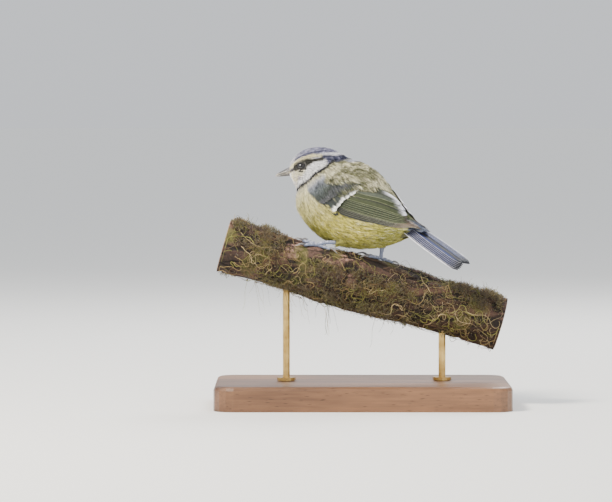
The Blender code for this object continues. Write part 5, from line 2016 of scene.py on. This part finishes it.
SCATTERED = 2600
x = rng.uniform(-60.0, 60.0, SCATTERED)
turn = rng.uniform(0.0, 2.0 * np.pi, SCATTERED)
spot = branch_point(x, turn)
patch = noise(spot, 5.0, 43)
near_feet = np.zeros(SCATTERED, dtype=bool)
for word in LEGS:
    near_feet |= foot_distance(spot, word, 2.0) < 8.0
kept = (patch > 0.12) & ~(near_feet & (np.cos(turn) > 0.0))
x, turn, patch = x[kept], turn[kept], patch[kept]
height = rng.uniform(0.6, 1.9, len(x)) * ramp(0.0, 0.5, patch)
green = np.clip(0.5 + rng.normal(0.0, 0.3, len(x)), 0.0, 1.0)
shoots("moss_scattered", x, turn, height + 0.3, green)

# %% [markdown]
# ### Rootlets
#
# Dead rootlets are round and wiry, a tenth to nearly half a millimetre thick. Each is a tube along a
# path that wanders over the bark. Most cling to it in loops, some hang below it and a few stand up.
# None of the clinging ones cross the feet, since the toes would have pushed them aside.


# %% Rootlets
STRANDS = ("#1d130d", "#3a2a1a", "#6d5434", "#9c8456", "#bda678", "#5d5c28", "#8b8840")


def rootlet(x, turn, length, wild, hang=0.0):
    """A thin strand that wanders over the bark, loops off it, and may hang at its end."""
    steps = 20
    share = even_steps(steps)
    waves = rng.uniform(1.0, 3.0, 4)
    phase = rng.uniform(0.0, 6.28, 4)
    heading = rng.uniform(-0.9, 0.9) + 1.3 * np.sin(waves[0] * share * 3.0 + phase[0])
    heading = heading + 0.8 * np.sin(waves[1] * share * 7.0 + phase[1])
    sign = rng.choice((-1.0, 1.0))
    xs = x + sign * np.cumsum(np.cos(heading)) * length / steps
    turns = turn + np.cumsum(np.sin(heading)) * length / steps / BRANCH_RADIUS
    xs = np.clip(xs, -61.0, 61.0)
    loops = np.maximum(np.sin(waves[2] * share * 4.0 + phase[2]), 0.0) ** 1.5
    lift = 0.35 + wild * loops * np.sin(np.pi * share)
    path = branch_point(xs, turns, lift)
    drop = ramp(0.35, 1.0, share) ** 1.3 * hang
    path[:, 2] -= drop
    path[:, 1] += 0.25 * drop * math.sin(phase[3]) * np.sin(share * 9.0)
    return path


def clinging(turn, lengths, wildness):
    """A strand that roots anywhere along the branch, with a length and loops drawn from ranges."""
    return rootlet(rng.uniform(-58.0, 58.0), turn, rng.uniform(*lengths), rng.uniform(*wildness)), False


rootlets = []
for _ in range(460):
    rootlets.append(clinging(rng.normal(math.radians(80.0), 0.75), (6.0, 28.0), (0.2, 2.6)))
for _ in range(170):
    rootlets.append(clinging(rng.uniform(0.0, 2.0 * math.pi), (8.0, 24.0), (0.2, 1.6)))
for _ in range(26):
    x = rng.choice((-16.0, -30.0, -44.0, 12.0)) + rng.normal(0.0, 3.0)
    turn = math.radians(rng.uniform(150.0, 185.0))
    rootlets.append((rootlet(x, turn, 8.0, 0.8, rng.uniform(4.0, 15.0)), True))
for _ in range(22):
    x = rng.choice((-54.0, -48.0, -26.0, 40.0, 52.0)) + rng.normal(0.0, 3.0)
    path = rootlet(x, math.radians(rng.uniform(-25.0, 40.0)), 6.0, 1.0)
    path[:, 2] += ramp(0.3, 1.0, even_steps(len(path))) * rng.uniform(1.5, 5.0)
    rootlets.append((path, True))

parts = []
for path, free in rootlets:
    above = path[:, 2].max() > branch_centre(path[:, 0])[:, 2].max() + 4.0
    at_foot = any(foot_distance(path, word, 3.0).min() < 6.5 for word in LEGS)
    if above and at_foot and not free:
        continue
    thick = rng.uniform(0.05, 0.09) + 0.13 * rng.uniform() ** 3
    radii = thick * (1.0 - 0.6 * even_steps(len(path)))
    verts, tris = tube_mesh(path, radii, 5)
    tone = linear(STRANDS[rng.integers(len(STRANDS))]) * rng.uniform(0.7, 1.2)
    strip = np.full(len(verts), len(parts) / 800.0 + 0.001)
    strand_map = np.stack([strip, np.linspace(0.01, 0.99, len(verts))], -1)
    parts.append((verts, tris, np.broadcast_to(tone, verts.shape), strand_map))
points, faces, tint, strand_map = join_parts(parts)
strands = add_piece("rootlets", points, faces, ROOTLET, tint, {"OFBake": strand_map})
print("rootlets:", len(parts), "strands,", len(strands.data.polygons), "triangles")

# %% [markdown]
# ## Stand
#
# The stand is plain, so that it does not compete: an oiled walnut base with eased edges and two
# satin brass rods with turned collars. The solids have its true shape, so they stay, and only get
# their finish: wood pores and grain that run along the base, and fine turning marks round the rods.


# %% Stand materials
def walnut_material(name):
    """Oiled walnut: bands of grain along X, and short dark pores 2 mm long."""
    made, tree, shader = start_material(name, 0.42, Coat_Weight=0.12, Coat_Roughness=0.35)
    long_grain = object_spots(tree, (0.07, 1.0, 1.0))
    fine = add_noise(tree, long_grain, 900.0, 4.0)
    both = add_math(tree, "MULTIPLY_ADD", fine, 0.35, add_noise(tree, long_grain, 55.0, 3.0, 0.6))
    tone = add_shades(tree, both, "#4a301f", "#8a6242", 0.5, 0.85)
    pore = add_cells(tree, object_spots(tree, (0.12, 1.0, 1.0)), 1300.0)
    hollow = add_range(tree, pore, 0.05, 0.22, 0.0, 1.0)
    shaded = add_node(tree, "ShaderNodeMix", {"Factor": hollow}, data_type="RGBA")
    first, second, result = shaded.inputs[6], shaded.inputs[7], shaded.outputs[2]
    first.default_value = (*linear("#2c1b12"), 1.0)
    tree.links.new(tone, second)
    tree.links.new(result, shader.inputs["Base Color"])
    use_relief(tree, shader, hollow, 0.3, 0.1)
    return made


def brass_material(name):
    """Satin turned brass: fine rings up the rod, and faint tarnish."""
    made, tree, shader = start_material(name, 0.3, Metallic=1.0)
    turning = add_noise(tree, object_spots(tree, (0.02, 0.02, 1.0)), 4000.0)
    tarnish = add_noise(tree, object_spots(tree), 160.0, 4.0)
    tone = add_shades(tree, tarnish, "#a8864a", "#d8b873", 0.35, 0.65)
    tree.links.new(tone, shader.inputs["Base Color"])
    tree.links.new(add_range(tree, turning, 0.0, 1.0, 0.22, 0.40), shader.inputs["Roughness"])
    use_relief(tree, shader, turning, 0.15, 0.03)
    return made


finishes = {
    "stand_base": walnut_material("oiled walnut"),
    "stand_rod_front": brass_material("satin turned brass"),
}
finishes["stand_rod_back"] = finishes["stand_rod_front"]
for node, finish in finishes.items():
    data = frame["nodes"][node].data
    data.materials.clear()
    data.materials.append(finish)
print("stand finished")

# %% [markdown]
# ## Floor and light
#
# The model stands on a pale, matt floor that runs on to the horizon, where it meets an even sky of
# nearly the same brightness, so that no line shows. A curved sweep would hide the line as well, but
# it would stand in the way of every view from behind. The key light comes from the upper left and a
# little in front, as the sun does in the photograph, and is large enough to keep the shadows soft.
# A weaker fill stands on the right, and a strip behind lights the edge of the back.

# %% Paper floor
FLOOR_RADIUS = 60.0
FLOOR_STEPS = 96
rings = (0.25, 1.0, 4.0, 16.0, FLOOR_RADIUS)
turns = full_turn(FLOOR_STEPS)
verts = [(r * math.cos(turn), r * math.sin(turn), 0.0) for r in rings for turn in turns]
verts.append((0.0, 0.0, 0.0))
floor_faces = grid_faces(len(rings), FLOOR_STEPS, True)
floor_faces += [(len(verts) - 1, (k + 1) % FLOOR_STEPS, k) for k in range(FLOOR_STEPS)]
floor_mesh = bpy.data.meshes.new("paper_floor")
floor_mesh.from_pydata(verts, [], [face[::-1] for face in floor_faces])
floor = bpy.data.objects.new("paper_floor", floor_mesh)
bpy.context.scene.collection.objects.link(floor)
paper, _, paper_shader = start_material("matt paper", 0.95)
paper_shader.inputs["Base Color"].default_value = (*linear("#f3f3f0"), 1.0)
floor_mesh.materials.append(paper)
floor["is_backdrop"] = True
print("floor", 2.0 * FLOOR_RADIUS, "m across")

# %% [markdown]
# ### Lights and sky
#
# Three square area lights do the work. The sky fills in, and is a little weaker at the horizon, where
# it has to match the floor.


# %% Lights
def add_light(name, place, size, power, colour):
    """A square area light that looks at the bird."""
    light = bpy.data.lights.new(name, "AREA")
    light.shape = "SQUARE"
    light.size = size
    light.energy = power
    light.color = linear(colour)
    made = bpy.data.objects.new(name, light)
    bpy.context.scene.collection.objects.link(made)
    made.location = place
    target = Vector((-0.01, 0.0, 0.08))
    made.rotation_euler = (target - Vector(place)).to_track_quat("-Z", "Y").to_euler()


add_light("key", (-0.60, -0.50, 0.85), 0.25, 23.0, "#fff6e8")
add_light("fill", (0.80, -0.90, 0.35), 0.90, 3.0, "#eef3ff")
add_light("edge", (0.25, 0.70, 0.75), 0.40, 7.0, "#ffffff")
SKY_STRENGTH = 1.1
SKY_HAZE = 0.89  # the sky's share of its strength at the horizon, where it has to match the floor
world = bpy.data.worlds.new("studio")
world.use_nodes = True
background = world.node_tree.nodes["Background"]
background.inputs["Color"].default_value = (*linear("#e8ebf0"), 1.0)
sky = world.node_tree
towards = add_node(sky, "ShaderNodeTexCoord").outputs["Generated"]
height = add_node(sky, "ShaderNodeSeparateXYZ", {"Vector": towards}).outputs["Z"]
haze = add_range(sky, height, 0.0, 0.2, SKY_HAZE * SKY_STRENGTH, SKY_STRENGTH)
sky.links.new(haze, background.inputs["Strength"])
bpy.context.scene.world = world
print("three lights")

# %% [markdown]
# ## Sizes and finish
#
# The last cell prints the number of faces in all meshes and the size of the box round the shown
# model.

# %% Sizes
low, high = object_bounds()
total = sum(len(item.data.polygons) for item in bpy.data.objects if item.type == "MESH")
print("whole model:", total, "faces; size", [round((b - a) / MM, 1) for a, b in zip(low, high)], "mm")
